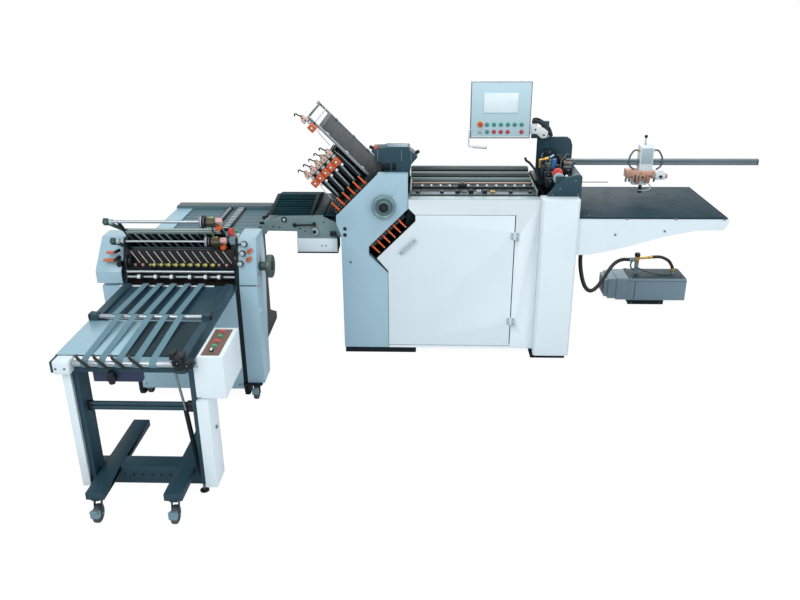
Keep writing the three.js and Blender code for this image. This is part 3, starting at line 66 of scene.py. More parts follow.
# Local axes of the slanted plates: x, y, z here are across, depth and along on the main unit,
# and width, across and along on the right-angle unit
MAIN_SLANT = Matrix(((1 / ROOT2, 0, -1 / ROOT2, 0), (0, 1, 0, 0), (1 / ROOT2, 0, 1 / ROOT2, 0), (0, 0, 0, 1)))
SECOND_SLANT = Matrix(((1, 0, 0, 0), (0, 1 / ROOT2, -1 / ROOT2, 0), (0, 1 / ROOT2, 1 / ROOT2, 0), (0, 0, 0, 1)))

FRONT, BACK, UP = (0, -1, 0), (0, 1, 0), (0, 0, 1)

# Axes of the main handwheel and the suction drum (x, z) and of the right-angle unit's handwheel (y, z)
HEAD_AXIS = (-255, 1007)
DRUM_AXIS = (885, 990)
SECOND_AXIS = (-510, 800)
# Place of the long plate across the slant; the short plates and the levers follow at the head's pitch
LONG_PLATE = 586
HEAD_PITCH = 47
LEVERS = 6
# First pivot of each row of levers, along and across the slant
UPPER_PIVOT = (1072, 553)
LOWER_PIVOT = (761, 531)
# Depths between which the fold plates lie
PLATE_FRONT = 77.6
PLATE_BACK = 619.4
PANEL_FRONT = 556
# The side guide stands in for this marble of the register table
SIDE_GUIDE_PLACE = 4


class MachineSizes(bpy.types.PropertyGroup):
    tape_width: FloatProperty(
        name="Tape width", description="Width of each delivery tape", default=0.032, unit="LENGTH")
    edge_round: FloatProperty(
        name="Edge round", description="Rounding of the sheet metal's edges", default=0.0025, unit="LENGTH")
    ball_radius: FloatProperty(
        name="Ball radius", description="Radius of the marbles that hold the sheet down", default=0.008,
        unit="LENGTH")
    hose_diameter: FloatProperty(
        name="Hose diameter", description="Outside diameter of the suction hose", default=0.028, unit="LENGTH")


def tint(label, color):
    return FloatVectorProperty(
        name=label, description=f"Colour of the {label.lower()}", default=color, subtype="COLOR", size=3,
        min=0, max=1)


class MachineColours(bpy.types.PropertyGroup):
    cover: tint("Side covers", (0.345, 0.527, 0.629))
    cabinet: tint("Cabinet", (0.72, 0.82, 0.87))
    slate: tint("Dark frames", (0.016, 0.054, 0.078))
    orange: tint("Levers", (0.68, 0.108, 0.02))
    table: tint("Feeder table", (0.015, 0.043, 0.06))


def linear(code):
    """Linear colour of a screen colour written as six hex digits"""
    parts = [int(code[i:i + 2], 16) / 255 for i in (0, 2, 4)]
    return tuple(p / 12.92 if p <= 0.04045 else ((p + 0.055) / 1.055) ** 2.4 for p in parts)


# Shader groups

def group_base(name, inputs, outputs):
    tree = bpy.data.node_groups.new(name, "ShaderNodeTree")
    for label, kind, value in inputs:
        socket = tree.interface.new_socket(label, in_out="INPUT", socket_type=f"NodeSocket{kind}")
        if value is not None:
            socket.default_value = value
    for label, kind in outputs:
        tree.interface.new_socket(label, in_out="OUTPUT", socket_type=f"NodeSocket{kind}")
    given = tree.nodes.new("NodeGroupInput").outputs
    return tree, given, tree.nodes.new("NodeGroupOutput")


def set_inputs(made, values):
    for label, value in values.items():
        made.inputs[label].default_value = value


def wire(tree, target, **sources):
    for label, source in sources.items():
        tree.links.new(source, target.inputs[label.replace("_", " ")])


def node(tree, kind, links=(), values=None, operation=None):
    """A new node with its links, the values of its other inputs and its operation"""
    made = tree.nodes.new(f"ShaderNode{kind}")
    if operation:
        made.operation = operation
    set_inputs(made, values or {})
    for socket, source in links:
        tree.links.new(source, made.inputs[socket])
    return made


def scaled_color(tree, color, factor):
    return node(tree, "VectorMath", [(0, color), ("Scale", factor.outputs[0])], operation="SCALE").outputs[0]


RELIEF_OUTPUTS = [("Color", "Color"), ("Roughness", "Float"), ("Height", "Float")]


def surface_group():
    """Slow colour drift, fine grain and faint wipe marks that every painted or moulded face shares"""
    tree, given, out = group_base(
        "surface_detail",
        [("Vector", "Vector", None), ("Color", "Color", (0.5, 0.5, 0.5, 1)), ("Drift", "Float", 0.06),
         ("Grain Scale", "Float", 900.0), ("Wear", "Float", 0.1), ("Roughness", "Float", 0.4)],
        RELIEF_OUTPUTS)
    vector = ("Vector", given["Vector"])
    slow = node(tree, "TexNoise", [vector], {"Scale": 5.0, "Detail": 4.0})
    grain = node(tree, "TexNoise", [vector, ("Scale", given["Grain Scale"])], {"Detail": 2.0})
    stretch = node(tree, "Mapping", [vector], {"Scale": (14.0, 14.0, 90.0)})
    wipe = node(tree, "TexNoise", [("Vector", stretch.outputs[0])], {"Scale": 1.0, "Detail": 5.0})
    drift = node(tree, "MapRange", [("Value", slow.outputs["Fac"])],
                 {"From Min": 0.3, "From Max": 0.7, "To Min": 1.0})
    shade = node(tree, "Math", [(1, given["Drift"])], {0: 1.0}, "SUBTRACT")
    tree.links.new(shade.outputs[0], drift.inputs["To Max"])
    rubbed = node(tree, "MapRange", [("Value", wipe.outputs["Fac"])], {"From Min": 0.45, "From Max": 0.75})
    rough = node(tree, "Math", [(0, rubbed.outputs[0]), (1, given["Wear"]), (2, given["Roughness"])],
                 operation="MULTIPLY_ADD")
    wire(tree, out, Color=scaled_color(tree, given["Color"], drift), Roughness=rough.outputs[0],
         Height=grain.outputs["Fac"])
    return tree


def brushed_group():
    """Fine drawn lines along one axis, with the matching roughness"""
    tree, given, out = group_base(
        "drawn_lines",
        [("Vector", "Vector", None), ("Color", "Color", (0.5, 0.5, 0.5, 1)), ("Stretch", "Vector", (8, 900, 900)),
         ("Roughness", "Float", 0.3)],
        RELIEF_OUTPUTS)
    scaled = node(tree, "VectorMath", [(0, given["Vector"]), (1, given["Stretch"])], operation="MULTIPLY")
    lines = node(tree, "TexNoise", [("Vector", scaled.outputs[0])], {"Scale": 1.0, "Detail": 3.0})
    level = node(tree, "MapRange", [("Value", lines.outputs["Fac"])], {"To Min": 0.82, "To Max": 1.12})
    rough = node(tree, "Math", [(0, lines.outputs["Fac"]), (2, given["Roughness"])], {1: 0.18}, "MULTIPLY_ADD")
    wire(tree, out, Color=scaled_color(tree, given["Color"], level), Roughness=rough.outputs[0],
         Height=lines.outputs["Fac"])
    return tree


GROUPS = {}
GROUP_MAKERS = {"surface": surface_group, "brushed": brushed_group}


def detailed(name, color, rough, metal=0.0, group="surface", bump=0.05, coat=0.0, spec=0.5, extra=None, **knobs):
    """A material whose colour, roughness and relief come from one of the shader groups"""
    if group not in GROUPS:
        GROUPS[group] = GROUP_MAKERS[group]()
    material = bpy.data.materials.new(name)
    material.use_nodes = True
    tree = material.node_tree
    shader = tree.nodes["Principled BSDF"]
    place = node(tree, "TexCoord")
    made = node(tree, "Group")
    made.node_tree = GROUPS[group]
    wire(tree, made, Vector=place.outputs["Object"])
    set_inputs(made, {"Color": (*color, 1), "Roughness": rough})
    set_inputs(made, {key.replace("_", " ").title(): value for key, value in knobs.items()})
    relief = node(tree, "Bump", [("Height", made.outputs["Height"])], {"Strength": bump, "Distance": 0.001})
    wire(tree, shader, Base_Color=made.outputs["Color"], Roughness=made.outputs["Roughness"],
         Normal=relief.outputs["Normal"])
    set_inputs(shader, {"Metallic": metal, "Coat Weight": coat, "Specular IOR Level": spec})
    if extra:
        extra(tree, shader, made, place)
    return material


def glowing(strength, color):
    def light(tree, shader, made, place):
        set_inputs(shader, {"Emission Color": (*color, 1), "Emission Strength": strength})
    return light


def striped(pitch, axis, dark):
    """Raised ribs across one axis of the object's own coordinates"""
    def ribs(tree, shader, made, place):
        split = node(tree, "SeparateXYZ", [(0, place.outputs["Object"])])
        turns = node(tree, "Math", [(0, split.outputs[axis])], {1: 2 * math.pi / pitch}, "MULTIPLY")
        wave = node(tree, "Math", [(0, turns.outputs[0])], operation="SINE")
        crest = node(tree, "MapRange", [("Value", wave.outputs[0])],
                     {"From Min": -0.2, "From Max": 0.9, "To Min": dark})
        relief = node(tree, "Bump", [("Height", crest.outputs[0])], {"Strength": 0.6, "Distance": 0.002})
        wire(tree, shader, Base_Color=scaled_color(tree, made.outputs["Color"], crest),
             Normal=relief.outputs["Normal"])
    return ribs


def paint(color, rough, drift, grain, **more):
    color = linear(color) if isinstance(color, str) else tuple(color)
    return dict(color=color, rough=rough, drift=drift, grain_scale=grain, **more)


def metal(code, rough, shine, bump, **more):
    return dict(color=linear(code), rough=rough, metal=shine, bump=bump, group="brushed", **more)


def recipes():
    """Paints with colour, roughness, drift and grain; metals with colour, roughness, shine and relief"""
    colours = bpy.context.scene.folder_colours
    return {
        "cover_blue": paint(colours.cover, 0.34, 0.05, 1400, coat=0.15),
        "cabinet_white": paint(colours.cabinet, 0.36, 0.03, 1400, coat=0.15),
        "slate_paint": paint(colours.slate, 0.46, 0.12, 1100, spec=0.3, bump=0.08),
        "black_paint": paint("08181f", 0.5, 0.15, 1100, spec=0.25, bump=0.08),
        "table_black": paint(colours.table, 0.55, 0.1, 1600, spec=0.12, bump=0.03),
        "black_plastic": paint("0f171c", 0.42, 0.1, 2200, spec=0.3),
        "black_rubber": paint("101417", 0.62, 0.15, 2600, bump=0.15),
        "grey_paint": paint("758c8f", 0.45, 0.08, 1200, spec=0.3, bump=0.06),
        "pump_grey": paint("7c95a2", 0.42, 0.1, 700, bump=0.12),
        "wheel_grey": paint("6f8a90", 0.34, 0.06, 1500, metal=0.2),
        "pump_dark": paint("2c4148", 0.5, 0.1, 900, spec=0.25, bump=0.1),
        "caster_blue": paint("6f8c9b", 0.42, 0.08, 1500),
        "teal_dark": paint("0a3038", 0.5, 0.12, 1200, spec=0.2),
        "lever_orange": paint(colours.orange, 0.32, 0.1, 2400, coat=0.2),
        "tip_mustard": paint("c98f3a", 0.4, 0.1, 2400),
        "pale_pink": paint("cfb3a6", 0.36, 0.08, 1800),
        "white_plastic": paint("e6eef0", 0.3, 0.03, 2400, coat=0.2),
        "pale_grey": paint("a9bcc2", 0.36, 0.05, 1800),
        "navy_paint": paint("0d2348", 0.42, 0.12, 1200),
        "red_plastic": paint("d3332c", 0.28, 0.06, 2400, coat=0.3),
        "green_plastic": paint("2c9a5e", 0.28, 0.06, 2400, coat=0.3),
        "yellow_plastic": paint("e2c22f", 0.35, 0.06, 2400),
        "blue_plastic": paint("2a74b8", 0.3, 0.06, 2400, coat=0.2),
        "brown_plate": paint("6a4a3c", 0.45, 0.12, 1500),
        "panel_blue": paint("bfdce6", 0.5, 0.02, 2400, spec=0.3),
        "light_blue": paint("9cc3d4", 0.36, 0.05, 1800),
        "screen": paint("dfeef4", 0.12, 0.1, 300, bump=0.0, extra=glowing(0.12, (0.75, 0.85, 0.9))),
        "tape_cloth": paint("688a98", 0.7, 0.12, 3000, spec=0.2, bump=0.2),
        "steel": metal("7d898f", 0.3, 0.6, 0.03),
        "steel_across": metal("7d898f", 0.3, 0.6, 0.03, stretch=(900, 8, 900)),
        "bright_steel": metal("a2aeb3", 0.22, 0.7, 0.02, stretch=(300, 300, 8)),
        "aluminium": metal("68777e", 0.32, 0.55, 0.03),
        "plate_steel": metal("9cc0cf", 0.3, 0.4, 0.02, stretch=(900, 8, 900)),
        "brass": metal("c09a4e", 0.24, 0.9, 0.02),
        "copper": metal("c39a86", 0.3, 0.55, 0.03),
        "ribbed_sheet": paint("343d42", 0.6, 0.1, 1500, spec=0.1, extra=striped(0.014, 1, 0.72)),
        "ribbed_cover": paint("053038", 0.6, 0.1, 1500, spec=0.1),
        "wheel_green": paint("43544f", 0.34, 0.08, 1500, metal=0.2),
        "shaft_green": paint("23493f", 0.36, 0.08, 1500),
        "ball_green": paint("b9c65a", 0.36, 0.1, 2400),
        "olive_brown": paint("43402f", 0.42, 0.12, 1500),
        "lilac": paint("8d86a8", 0.36, 0.08, 1800),
        "dusty_pink": paint("d3a7a4", 0.36, 0.06, 1800),
        "button_teal": paint("2f8f86", 0.3, 0.05, 2400, coat=0.2),
        "button_crimson": paint("b8324a", 0.3, 0.05, 2400, coat=0.2),
        "bronze_grey": paint("66706e", 0.34, 0.08, 1500, metal=0.45),
        "plate_dark": paint("22363d", 0.55, 0.1, 1500, spec=0.12),
        "inner_dark": paint("2b2522", 0.5, 0.15, 1200, spec=0.2),
        "hood_edge": paint("5d7d8a", 0.4, 0.08, 1400),
        "window_pale": paint("a3b6bd", 0.3, 0.06, 1400),
        "table_teal": metal("4a6c77", 0.34, 0.3, 0.03),
        "beam_green": paint("a3b5b2", 0.38, 0.08, 1200),
        "beam_dark": paint("3f5254", 0.42, 0.1, 1200),
        "tip_green": paint("27493f", 0.42, 0.1, 1500),
        "hose_rubber": paint("14191c", 0.5, 0.1, 2600),
        "air_hose": paint("4d5a5f", 0.34, 0.06, 2600),
        "tyre_rubber": paint("3a4146", 0.55, 0.12, 2600, bump=0.12),
    }


FINISHES = {}


def finish(name):
    if name not in FINISHES:
        FINISHES[name] = detailed(name, **recipes()[name])
    return FINISHES[name]


def row(start, pitch, count):
    return [start + i * pitch for i in range(count)]


def smooth_path(points, steps=8):
    """Points of one smooth curve through the given ones"""
    held = [Vector(p) for p in points]
    held = [held[0] * 2 - held[1]] + held + [held[-1] * 2 - held[-2]]
    path = []
    for a, b, c, d in zip(held, held[1:], held[2:], held[3:]):
        for i in range(steps):
            t = i / steps
            path.append(0.5 * (2 * b + (c - a) * t + (2 * a - 5 * b + 4 * c - d) * t * t
                               + (3 * b - a - 3 * c + d) * t ** 3))
    return path + [held[-2]]


def swept(path, radii, sides):
    """A round skin along the path, with a radius at each of its points"""
    curve = bpy.data.curves.new("path", "CURVE")
    curve.dimensions = "3D"
    curve.bevel_depth = 1
    curve.bevel_resolution = sides
    curve.use_fill_caps = True
    spline = curve.splines.new("POLY")
    spline.points.add(len(path) - 1)
    for dot, spot, radius in zip(spline.points, path, radii):
        dot.co = (*spot, 1)
        dot.radius = radius
    holder = bpy.data.objects.new("path", curve)
    shape = bpy.data.meshes.new_from_object(holder)
    part = bmesh.new()
    part.from_mesh(shape)
    bpy.data.objects.remove(holder)
    bpy.data.curves.remove(curve)
    bpy.data.meshes.remove(shape)
    return part


class Work:
    """One piece in the making, in the machine's own millimetres or in a slant's axes"""

    def __init__(self, slant=None):
        self.mesh = bmesh.new()
        self.slant = slant
        self.finishes = []
        self.solids = []

    def take(self, part, name, turn=None):
        turn = self.slant if turn is None else turn
        if turn is not None:
            bmesh.ops.transform(part, matrix=turn, verts=part.verts)
        if name not in self.finishes:
            self.finishes.append(name)
        index = self.finishes.index(name)
        for face in part.faces:
            face.material_index = index
        carrier = bpy.data.meshes.new("carrier")
        part.to_mesh(carrier)
        part.free()
        self.mesh.from_mesh(carrier)
        bpy.data.meshes.remove(carrier)
        return self

    @staticmethod
    def round_edges(part, width, sharper=0.6):
        if width <= 0:
            return
        edges = [e for e in part.edges if len(e.link_faces) == 2 and e.calc_face_angle(0) > sharper]
        bmesh.ops.bevel(part, geom=edges, offset=width, offset_type="OFFSET", segments=2, profile=0.5,
                        affect="EDGES", material=-1, clamp_overlap=True)

    def block(self, low, high, name, bevel=1.0, turn=None):
        part = bmesh.new()
        bmesh.ops.create_cube(part, size=1)
        size = [b - a for a, b in zip(low, high)]
        middle = [(a + b) / 2 for a, b in zip(low, high)]
        bmesh.ops.scale(part, vec=size, verts=part.verts)
        bmesh.ops.translate(part, vec=middle, verts=part.verts)
        self.round_edges(part, min(bevel, min(size) * 0.45))
        return self.take(part, name, turn)

    def rod(self, start, end, radius, name, bevel=0.0, turn=None, sides=24, tip=None):
        part = bmesh.new()
        a, b = Vector(start), Vector(end)
        bmesh.ops.create_cone(part, cap_ends=True, segments=sides, radius1=radius,
                              radius2=radius if tip is None else tip, depth=(b - a).length)
        self.round_edges(part, bevel, 1.0)
        spin = (b - a).to_track_quat("Z", "Y").to_matrix().to_4x4()
        bmesh.ops.transform(part, matrix=Matrix.Translation((a + b) / 2) @ spin, verts=part.verts)
        return self.take(part, name, turn)

    def bar(self, axis, across, start, end, *look, **shape):
        """A rod along one axis, placed by the other two coordinates"""
        ends = [list(across), list(across)]
        for spot, station in zip(ends, (start, end)):
            spot.insert("xyz".index(axis), station)
        return self.rod(*ends, *look, **shape)

    def turned(self, profile, origin, axis, name, sides=28, turn=None):
        """profile holds (radius, station) points; stations run along the axis from the origin"""
        part = bmesh.new()
        dots = [part.verts.new((r, 0, s)) for r, s in profile]
        edges = [part.edges.new(pair) for pair in zip(dots, dots[1:])]
        bmesh.ops.spin(part, geom=dots + edges, cent=(0, 0, 0), axis=(0, 0, 1), angle=2 * math.pi, steps=sides,
                       use_merge=True, use_duplicate=False)
        bmesh.ops.remove_doubles(part, verts=part.verts, dist=1e-4)
        bmesh.ops.recalc_face_normals(part, faces=part.faces)
        spin = Vector(axis).to_track_quat("Z", "Y").to_matrix().to_4x4()
        bmesh.ops.transform(part, matrix=Matrix.Translation(origin) @ spin, verts=part.verts)
        return self.take(part, name, turn)

    def plate(self, outline, axis, start, end, name, bevel=1.0, turn=None):
        """An outline in the plane square to the axis, given in the other two coordinates"""
        part = bmesh.new()
        spots = {"x": lambda a, b: (start, a, b), "y": lambda a, b: (a, start, b), "z": lambda a, b: (a, b, start)}
        face = part.faces.new([part.verts.new(spots[axis](a, b)) for a, b in outline])
        grown = bmesh.ops.extrude_face_region(part, geom=[face])
        move = {"x": (end - start, 0, 0), "y": (0, end - start, 0), "z": (0, 0, end - start)}[axis]
        bmesh.ops.translate(part, vec=move, verts=[v for v in grown["geom"] if isinstance(v, bmesh.types.BMVert)])
        bmesh.ops.recalc_face_normals(part, faces=part.faces)
        self.round_edges(part, bevel)
        return self.take(part, name, turn)

    def ball(self, centre, radius, name, sides=16, turn=None):
        part = bmesh.new()
        bmesh.ops.create_uvsphere(part, u_segments=sides, v_segments=sides * 2 // 3, radius=radius)
        bmesh.ops.translate(part, vec=centre, verts=part.verts)
        return self.take(part, name, turn)

    def tube(self, points, radius, name, steps=8, sides=4, turn=None):
        """A round tube along a smooth path"""
        path = smooth_path(points, steps)
        part = swept(path, [radius] * len(path), sides)
        bmesh.ops.remove_doubles(part, verts=part.verts, dist=1e-3)
        bmesh.ops.recalc_face_normals(part, faces=part.faces)
        return self.take(part, name, turn)

    def screw(self, spot, radius, name="steel", height=None, facing=FRONT, turn=None):
        """A socket head screw that faces the given way"""
        spot, facing = Vector(spot), Vector(facing).normalized()
        height = radius * 0.8 if height is None else height
        self.rod(spot - facing * 0.5, spot + facing * height, radius, name, radius * 0.18, turn, 14)
        return self.rod(spot + facing * (height - radius * 0.3), spot + facing * (height + 0.05), radius * 0.5,
                        "black_plastic", 0, turn, 6)

    def solid(self, name, look, bevel=None):
        """A CAD node's own solid, with its flat faces joined and its edges rounded"""
        self.solids.append(name)
        part = bmesh.new()
        part.from_mesh(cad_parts[name].data)
        bmesh.ops.scale(part, vec=(1000, 1000, 1000), verts=part.verts)
        bmesh.ops.translate(part, vec=-SHIFT, verts=part.verts)
        bmesh.ops.remove_doubles(part, verts=part.verts, dist=0.01)
        bmesh.ops.dissolve_limit(part, angle_limit=math.radians(0.6), use_dissolve_boundaries=False,
                                 verts=part.verts, edges=part.edges)
        width = bpy.context.scene.folder_sizes.edge_round * 1000 if bevel is None else bevel
        self.round_edges(part, width)
        return self.take(part, look)

    def done(self, name, body="main_unit", replaces=(), angle=32):
        """Turns the piece into an object in the row frame that rides on its body and replaces its nodes"""
        bmesh.ops.translate(self.mesh, vec=SHIFT, verts=self.mesh.verts)
        bmesh.ops.scale(self.mesh, vec=(0.001, 0.001, 0.001), verts=self.mesh.verts)
        mesh = bpy.data.meshes.new(name)
        self.mesh.to_mesh(mesh)
        self.mesh.free()
        for look in self.finishes:
            mesh.materials.append(finish(look))
        mesh.shade_smooth()
        mesh.set_sharp_from_angle(angle=math.radians(angle))
        piece = bpy.data.objects.new(name, mesh)
        bpy.context.scene.collection.objects.link(piece)
        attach(piece, body)
        for stood_for in (*self.solids, *replaces):
            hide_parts(stood_for)
        return piece


def metres(point):
    return [(p + s) / 1000 for p, s in zip(point, SHIFT)]


STEPS = []


class Step(bpy.types.Operator):
    """Base of the machine's building steps; each one joins STEPS, which run in the order of this file"""
    bl_options = {"REGISTER", "UNDO"}

    def __init_subclass__(cls, label):
        cls.bl_idname = "folder." + cls.__name__.partition("_OT_")[2]
        cls.bl_label = label
        STEPS.append(cls)

    def execute(self, context):
        self.build(context)
        return {"FINISHED"}


class FOLDER_OT_stage(Step, label="Stage"):
    """Set up the camera, floor, lamps and backdrop"""

    def build(self, context):
        scene = context.scene
        scene.view_settings.view_transform = "Standard"
        lens = bpy.data.cameras.new("camera")
        lens.lens = 34.935
        lens.sensor_width = 36
        lens.clip_end = 60
        camera = bpy.data.objects.new("camera", lens)
        pitch, yaw, roll = (math.radians(a) for a in (22.576, 1.991, -0.352))
        right = Vector((math.cos(yaw), math.sin(yaw), 0))
        ahead = Vector((-math.sin(yaw), math.cos(yaw), 0))
        up = Vector((0, 0, 1))
        gaze = ahead * math.cos(pitch) - up * math.sin(pitch)
        lift = up * math.cos(pitch) + ahead * math.sin(pitch)
        side = right * math.cos(roll) + lift * math.sin(roll)
        lift = lift * math.cos(roll) - right * math.sin(roll)
        turn = Matrix((side, lift, -gaze)).transposed().to_4x4()
        camera.matrix_world = Matrix.Translation(metres((0, -4600, 2300))) @ turn
        scene.collection.objects.link(camera)
        scene.camera = camera
        self.floor(scene)
        self.lamps(scene)
        self.backdrop(scene)

    def floor(self, scene):
        ground = bmesh.new()
        bmesh.ops.create_grid(ground, x_segments=1, y_segments=1, size=14)
        mesh = bpy.data.meshes.new("floor")
        ground.to_mesh(mesh)
        ground.free()
        paint = bpy.data.materials.new("floor_paint")
        paint.use_nodes = True
        tree = paint.node_tree
        tree.nodes.clear()
        matt = node(tree, "BsdfDiffuse", values={"Color": (0.86, 0.88, 0.9, 1)})
        shine = node(tree, "Emission", values={"Color": (1, 1, 1, 1), "Strength": 1.12})
        rays = node(tree, "LightPath").outputs
        seen = node(tree, "Math", [(0, rays["Is Camera Ray"])], {1: 0.85}, "MULTIPLY")
        mixed = node(tree, "MixShader", [(0, seen.outputs[0]), (1, matt.outputs[0]), (2, shine.outputs[0])])
        node(tree, "OutputMaterial", [("Surface", mixed.outputs[0])])
        mesh.materials.append(paint)
        floor = bpy.data.objects.new("floor", mesh)
        floor.location = (0, 0, -0.0005)
        scene.collection.objects.link(floor)

    def lamps(self, scene):
        for name, spot, aim, size, power in (
                ("key", (-2.6, -4.6, 4.6), (-0.2, 0, 0.7), 3.2, 132),
                ("fill", (3.6, -4.2, 3.0), (0.3, 0, 0.8), 3.0, 70),
                ("top", (0.2, 0.6, 5.2), (0.2, 0.3, 0.6), 4.0, 84),
                ("back", (1.0, 5.0, 3.2), (0, 0, 0.9), 3.0, 53)):
            light = bpy.data.lights.new(name, "AREA")
            light.size = size
            light.energy = power
            lamp = bpy.data.objects.new(name, light)
            lamp.location = spot
            lamp.rotation_euler = (Vector(aim) - Vector(spot)).to_track_quat("-Z", "Y").to_euler()
            scene.collection.objects.link(lamp)

    def backdrop(self, scene):
        world = bpy.data.worlds.new("backdrop")
        world.use_nodes = True
        scene.world = world
        tree = world.node_tree
        tree.nodes.clear()
        soft = node(tree, "Background", values={"Color": (0.93, 0.97, 1.0, 1), "Strength": 0.55})
        white = node(tree, "Background", values={"Color": (1, 1, 1, 1)})
        rays = node(tree, "LightPath").outputs
        direct = rays["Is Camera Ray"]
        for other in ("Is Glossy Ray", "Is Transmission Ray"):
            direct = node(tree, "Math", [(0, direct), (1, rays[other])], operation="MAXIMUM").outputs[0]
        mixed = node(tree, "MixShader", [(0, direct), (1, soft.outputs[0]), (2, white.outputs[0])])
        node(tree, "OutputWorld", [("Surface", mixed.outputs[0])])


# Length of hose from one rib to the next
HOSE_RING = 7
HOSE_ROUTE = [
    (1019, 250, 617.7), (1019, 250, 600), (1019, 250, 582), (1026, 261, 530), (1042, 288, 465),
    (1065, 326, 398), (1096, 375, 335), (1138, 440, 285), (1185, 520, 258), (1240, 620, 252),
    (1300, 730, 266), (1358, 835, 290), (1412, 920, 308), (1458, 968, 317), (1498, 990, 320),
    (1520, 990, 320), (1539.7, 990, 320),
]


class FOLDER_OT_hose(Step, label="Suction hose"):
    """Suction hose from the feeder's port to the pump's regulator"""

    def build(self, context):
        radius = context.scene.folder_sizes.hose_diameter * 500
        path = smooth_path(HOSE_ROUTE, 12)
        length = sum((b - a).length for a, b in zip(path, path[1:]))
        rings = int(length / HOSE_RING)
        even = self.spaced(path, rings * 4)
        radii = [radius * (1 if i % 4 in (0, 1) else 0.88) for i in range(len(even))]
        part = swept(even, radii, 5)
        bmesh.ops.recalc_face_normals(part, faces=part.faces)
        work = Work()
        work.take(part, "hose_rubber")
        hose = work.done("ribbed_hose", "main_unit", ["suction_hose"], 60)
        route = [metres(p) for p in even]

    @staticmethod
    def spaced(path, count):
        lengths = [0]
        for a, b in zip(path, path[1:]):
            lengths.append(lengths[-1] + (b - a).length)
        spots, i = [], 0
        for k in range(count + 1):
            want = lengths[-1] * k / count
            while i < len(lengths) - 2 and lengths[i + 1] < want:
                i += 1
            span = lengths[i + 1] - lengths[i]
            spots.append(path[i].lerp(path[i + 1], (want - lengths[i]) / span if span else 0))
        return spots


def hinge_leaves(work, left, middle, right):
    """Two leaves of the door's hinges, each with its two screws"""
    for z in (797, 222):
        work.block((left, -9.4, z), (right, -7.8, z + 46), "pale_grey", 0.8)
        for rise in (9, 37):
            work.screw((middle, -9.4, z + rise), 3, height=1)


class FOLDER_OT_covers(Step, label="Main covers"):
    """Side covers, cabinet, column and rear casing of the main unit"""

    def build(self, context):
        Work().solid("base_frame", "black_paint", 1.2).done("side_frames")
        work = Work().solid("front_side_cover", "cover_blue")
        for x, z in ((-499, 862), (-500, 821)):
            work.turned([(0, -4), (4, -4), (5, -3), (8, -3), (11.5, -2), (12, 0.5), (0, 0.5)], (x, 0, z), BACK,
                        "black_plastic", sides=48)
        work.screw((-470, 0, 643), 7, "aluminium")
        work.done("side_cover")
        Work().solid("rear_cover", "cover_blue", 3).done("rear_casing")
        work = Work().solid("cabinet_body", "cabinet_white")
        work.block((-104, 3, 1047), (699, 84, 1048.6), "pale_grey", 0.6)
        hinge_leaves(work, 556.5, 567, 577)
        work.done("cabinet_front")
        Work().solid("column_cover", "cabinet_white", 4).done("column")


class FOLDER_OT_door(Step, label="Cabinet door"):
    """Cabinet door with its bar handle and hinge screws"""

    def build(self, context):
        work = Work().solid("cabinet_door", "cabinet_white", 1.6)
        lie = Matrix.Translation((-109, -22, 751.5)) @ Matrix.Rotation(math.radians(-43.6), 4, "Y")
        work.block((-70, -3, -10), (70, 3, 10), "pale_grey", 2, turn=lie)
        for x in (-54, 54):
            work.bar("y", (x, 0), 2, 22, 6, "pale_grey", turn=lie, sides=20)
            work.screw((x, -3, 0), 4, height=1, turn=lie)
        hinge_leaves(work, 527, 537, 547.5)
        work.done("front_door", "door")


